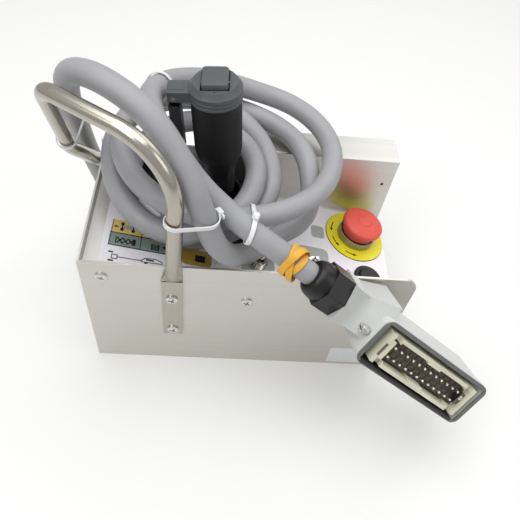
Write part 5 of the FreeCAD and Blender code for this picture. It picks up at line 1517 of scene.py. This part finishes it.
@dataclass
class Connector:
    """Rectangular plug on the cable's loose end; heights are measured out from its rim.

    The pin's nose is given by radii and depths below the tip, a peg by its radius and length
    and by where it starts along X and Z, and the skirt of the painted-shade strip on the seal
    by its width and its foot.
    """

    looks: Finishes
    columns: int = 12
    pitch: float = 6.6
    row_gap: float = 9.0
    pin_radius: float = 1.25
    pin_levels: Pair = (-37.9, 0.2)
    pin_nose: tuple[Pair, Pair] = ((1.25, 1.6), (0.9, 0.2))
    nose_steps: int = 5
    nose_ease: float = 0.4
    pin_around: int = 20
    floor: float = -19.98
    tile_top: float = -6.5
    tile_size: Pair = (89.0, 18.8)
    tile_round: float = 0.8
    cell: Point = (5.4, 7.6, 0.7)
    cell_round: float = 0.5
    cell_sink: float = 0.2
    peg: Pair = (3.9, 9.5)
    peg_dome: float = 2.4
    peg_edge: float = 1.6
    peg_from: Pair = (55.5, -11.5)
    lip: Point = (104.0, 2.3, 0.2)
    lip_at: Pair = (-1.0, -18.5)
    lip_low: float = 0.01
    lip_round: float = 0.9
    skirt: Pair = (0.7, -13.0)
    skirt_round: float = 0.2
    fillet_arc: tuple[Pair, Pair, Pair] = ((-78.0, -15.7), (-72.0, -17.6), (-67.5, -15.95))
    fillet_valley: Pair = (-72.0, -18.4)
    fillet_span: Pair = (-19.6, 9.2)
    fillet_steps: int = 12
    end_block: Block = Block((4.4, 18.0), 0.6, (-42.6, 0.0), 1.1)
    end_slot: Block = Block((2.4, 11.5), 0.3, (-46.3, -1.2), 1.62)
    slot_low: float = 1.4
    earth_clip: Block = Block((4.6, 11.0), 0.5, (42.5, 0.3), -1.0)
    clip_lip: Block = Block((1.0, 11.0), 0.3, (39.7, 0.3), 0.6)
    earth_screw: Fastener = Fastener(1.9, 1.4, 1.0, 2.0, Recess.SLOT)
    earth_screw_at: Point = (42.6, 1.5, -1.0)

    def grid(self) -> list[Pair]:
        """Return the contacts' places on the rim plane."""
        x = (np.arange(self.columns) - (self.columns - 1) / 2) * self.pitch
        return [(px, side * self.row_gap / 2) for side in (-1, 1) for px in x]

    def pins(self) -> Skin:
        """Make the contact pins, a round-nosed turned outline repeated on the grid.

        Returns:
            All pins as one surface.
        """
        foot, top = self.pin_levels
        nose = [(radius, top - down) for radius, down in self.pin_nose]
        corners = [(0.0, foot), (self.pin_radius, foot), *nose, (0.0, top)]
        pin = turned(smooth_profile(corners, self.nose_steps, self.nose_ease), self.pin_around)
        return sum_skins([pin.moved(x, y, 0.0) for x, y in self.grid()])

    def tile(self) -> Skin:
        """Make the contact carrier, its dark brown being painted shade deep in the insert.

        Returns:
            A slab in the insert with a raised cell round each pin.
        """
        long, wide, high = self.cell
        base = slab(rounded_box(*self.tile_size, self.tile_round), self.floor, self.tile_top)
        outline = rounded_box(long, wide, self.cell_round)
        cell = slab(outline, self.tile_top - self.cell_sink, self.tile_top + high)
        return sum_skins([base] + [cell.moved(x, y, 0.0) for x, y in self.grid()])

    def fillet(self) -> Skin:
        """Make the cast fillet in the valley between the hood's end wall and its cable entry.

        Its outline is the quadratic arc (1-t)^2 a + 2t(1-t) b + t^2 c closed through the valley,
        carried straight along the hood's short axis.

        Returns:
            The closed fillet.
        """
        a, b, c = np.array(self.fillet_arc)
        t = np.linspace(0.0, 1.0, self.fillet_steps)[:, None]
        arc = (1 - t) ** 2 * a + 2 * t * (1 - t) * b + t ** 2 * c
        outline = np.vstack([arc, self.fillet_valley])[::-1]
        return slab(outline, *self.fillet_span).at(Place(NEAR_TURN, np.zeros(3)))

    def painted_shade_lip(self) -> Skin:
        """Make a dark strip along the rim's lower side: painted shade on the seal's inner edge.

        Returns:
            The painted-shade strip and its skirt inside the hood.
        """
        long, wide, thick = self.lip
        x, y = self.lip_at
        skirt_wide, skirt_low = self.skirt
        strip = slab(rounded_box(long, wide, self.lip_round), self.lip_low, thick).moved(x, y, 0.0)
        skirt = slab(rounded_box(long, skirt_wide, self.skirt_round), skirt_low, thick)
        return strip + skirt.moved(x, y + wide / 2, 0.0)

    def pegs(self) -> Skin:
        """Make the locking pegs at both ends.

        Returns:
            Two round bars, each with a slotted, domed end.
        """
        radius, long = self.peg
        start, height = self.peg_from
        straight = long - self.peg_edge
        bar = Fastener(radius, self.peg_dome, radius, straight, Recess.SLOT).skin()
        bar = bar.moved(0.0, 0.0, straight)
        skins = []
        for way in (-1.0, 1.0):
            turn = np.array([[0, 0, way], [0, 1.0, 0], [-way, 0, 0]])
            skins.append(bar.at(Place(turn, np.array([way * start, 0.0, height]))))
        return sum_skins(skins)

    def clips(self) -> Skin:
        """Return the slot in the end block, the earth clip and its lip."""
        fittings = self.earth_clip.skin(self.tile_top) + self.clip_lip.skin(self.tile_top)
        return self.end_slot.skin(self.slot_low) + fittings

    def build(self) -> list[Object]:
        """Dress the connector and build its pins, pegs and the insert's fittings.

        Returns:
            The pieces that go with the cable.
        """
        looks = self.looks
        place = on_hood()
        block = self.end_block.skin(self.tile_top)
        screw = self.earth_screw.skin().moved(*self.earth_screw_at)
        return [
            dress("connector_hood", looks.paint, bevel=0.8),
            dress("hood_gasket", looks.gasket, bevel=0.3),
            dress("connector_insert", looks.cream, bevel=0.3),
            dress("insert_frame", looks.shadow, bevel=0.2),
            make_piece("locking_peg_bars", self.pegs().at(place), looks.bright, ROOT,
                       ("locking_pegs",)),
            make_piece("pin_field", self.pins().at(place), looks.pin, ROOT,
                       ("contact_pins",)),
            make_piece("entry_fillet", self.fillet().at(place), looks.paint, ROOT),
            # Dark strip on the seal's lower side: painted shade, in the dark frame finish.
            make_piece("painted_shade_lip", self.painted_shade_lip().at(place), looks.shadow, ROOT),
            # Dark brown contact carrier: painted shade deep in the insert.
            make_piece("insert_tile", self.tile().at(place), looks.floor, ROOT),
            make_piece("insert_end_block", block.at(place), looks.cream, ROOT),
            make_piece("earth_clips", self.clips().at(place), looks.clip, ROOT),
            make_piece("earth_screw", screw.at(place), looks.bright, ROOT),
        ]


@dataclass(frozen=True)
class Lamp:
    """Square soft lamp, its place and size in metres."""

    name: str
    spot: Point
    size: float
    power: float

    def hang(self, aim: Point) -> None:
        """Put the lamp into the scene, facing a point.

        Args:
            aim: Point in metres that it faces.
        """
        data = bpy.data.lights.new(self.name, "AREA")
        data.size = self.size
        data.energy = self.power
        obj = bpy.data.objects.new(self.name, data)
        obj.location = self.spot
        obj.rotation_euler = (Vector(aim) - Vector(self.spot)).to_track_quat("-Z", "Y").to_euler()
        show(obj)


@dataclass
class Studio:
    """Pale floor, soft lights and the photograph's camera.

    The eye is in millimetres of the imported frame, the focal length and the picture's side are
    in pixels, and the floor and the lamps are in metres.
    """

    eye: Point = (-33.88, -334.43, 492.56)
    right: Point = (0.99416, -0.00778, 0.10762)
    down: Point = (0.05952, -0.79239, -0.60711)
    ahead: Point = (0.09000, 0.60997, -0.78730)
    focal: float = 548.7
    picture: float = 520.0
    sensor: float = 36.0
    nearest: float = 0.01
    floor_half: float = 6.0
    floor_color: Color = (0.9, 0.9, 0.89)
    floor_plain_rough: float = 0.7
    floor_rough: Pair = (0.62, 0.75)
    floor_noise: float = 3.0
    sky_soft: float = 0.34
    sky_mirrored: float = 0.6
    sky_seen: float = 1.0
    aim: Point = (0.0, 0.0, 0.1)
    lamps: tuple[Lamp, ...] = (
        Lamp("top", (-0.15, 0.1, 1.7), 1.5, 18.5),
        Lamp("key", (-0.9, -0.7, 1.4), 0.8, 7.0),
        Lamp("fill", (1.1, -0.5, 1.1), 0.8, 3.0),
        Lamp("back", (0.9, 1.0, 1.2), 1.0, 4.5),
    )

    def camera(self) -> None:
        """Stand the camera where the photograph was taken."""
        data = bpy.data.cameras.new("camera")
        data.sensor_width = self.sensor
        data.lens = self.focal / self.picture * self.sensor
        data.clip_start = self.nearest
        obj = bpy.data.objects.new("camera", data)
        axes = np.eye(4)
        axes[:3, 0] = self.right
        axes[:3, 1] = -np.array(self.down)
        axes[:3, 2] = -np.array(self.ahead)
        axes[:3, 3] = np.array(self.eye) * MM
        obj.matrix_world = Matrix(axes.tolist())
        show(obj)
        bpy.context.scene.camera = obj

    def floor(self) -> None:
        """Lay a wide pale floor."""
        mesh = bpy.data.meshes.new("floor")
        h = self.floor_half
        mesh.from_pydata([(-h, -h, 0), (h, -h, 0), (h, h, 0), (-h, h, 0)], [], [(0, 1, 2, 3)])
        recipe = Recipe("floor_white", self.floor_color, self.floor_plain_rough)
        recipe.rough(recipe.noise(self.floor_noise), *self.floor_rough)
        mesh.materials.append(recipe.material)
        obj = bpy.data.objects.new("floor", mesh)
        show(obj)

    def sky(self) -> None:
        """Make a world that is white to the camera and dimmer to the object."""
        world = bpy.data.worlds.new("studio")
        bpy.context.scene.world = world
        world.use_nodes = True
        tree = world.node_tree
        back = tree.nodes["Background"]
        back.inputs["Color"].default_value = (1.0, 1.0, 1.0, 1.0)
        path = tree.nodes.new("ShaderNodeLightPath")
        unseen = tree.nodes.new("ShaderNodeMapRange")
        unseen.inputs["To Min"].default_value = self.sky_soft
        unseen.inputs["To Max"].default_value = self.sky_mirrored
        strength = tree.nodes.new("ShaderNodeMapRange")
        strength.inputs["To Max"].default_value = self.sky_seen
        tree.links.new(path.outputs["Is Glossy Ray"], unseen.inputs["Value"])
        tree.links.new(path.outputs["Is Camera Ray"], strength.inputs["Value"])
        tree.links.new(unseen.outputs["Result"], strength.inputs["To Min"])
        tree.links.new(strength.outputs["Result"], back.inputs["Strength"])

    def build(self) -> None:
        """Set up the studio."""
        bpy.context.scene.view_settings.view_transform = "Standard"
        self.camera()
        self.floor()
        self.sky()
        for lamp in self.lamps:
            lamp.hang(self.aim)


def main() -> None:
    """Build every sub-assembly in order."""
    logging.basicConfig(level=logging.INFO, format="%(message)s")
    looks = Finishes()
    for kind in (Case, Handle, Legend, StopSwitch, PanelSwitches, Joystick):
        part = kind(looks)
        part.build()
        LOG.info("built %s", type(part).__name__)
    pieces = Connector(looks).build() + CableTrim(looks).build()
    Cable(looks).build(pieces)
    Studio().build()


if __name__ == "__main__":
    main()
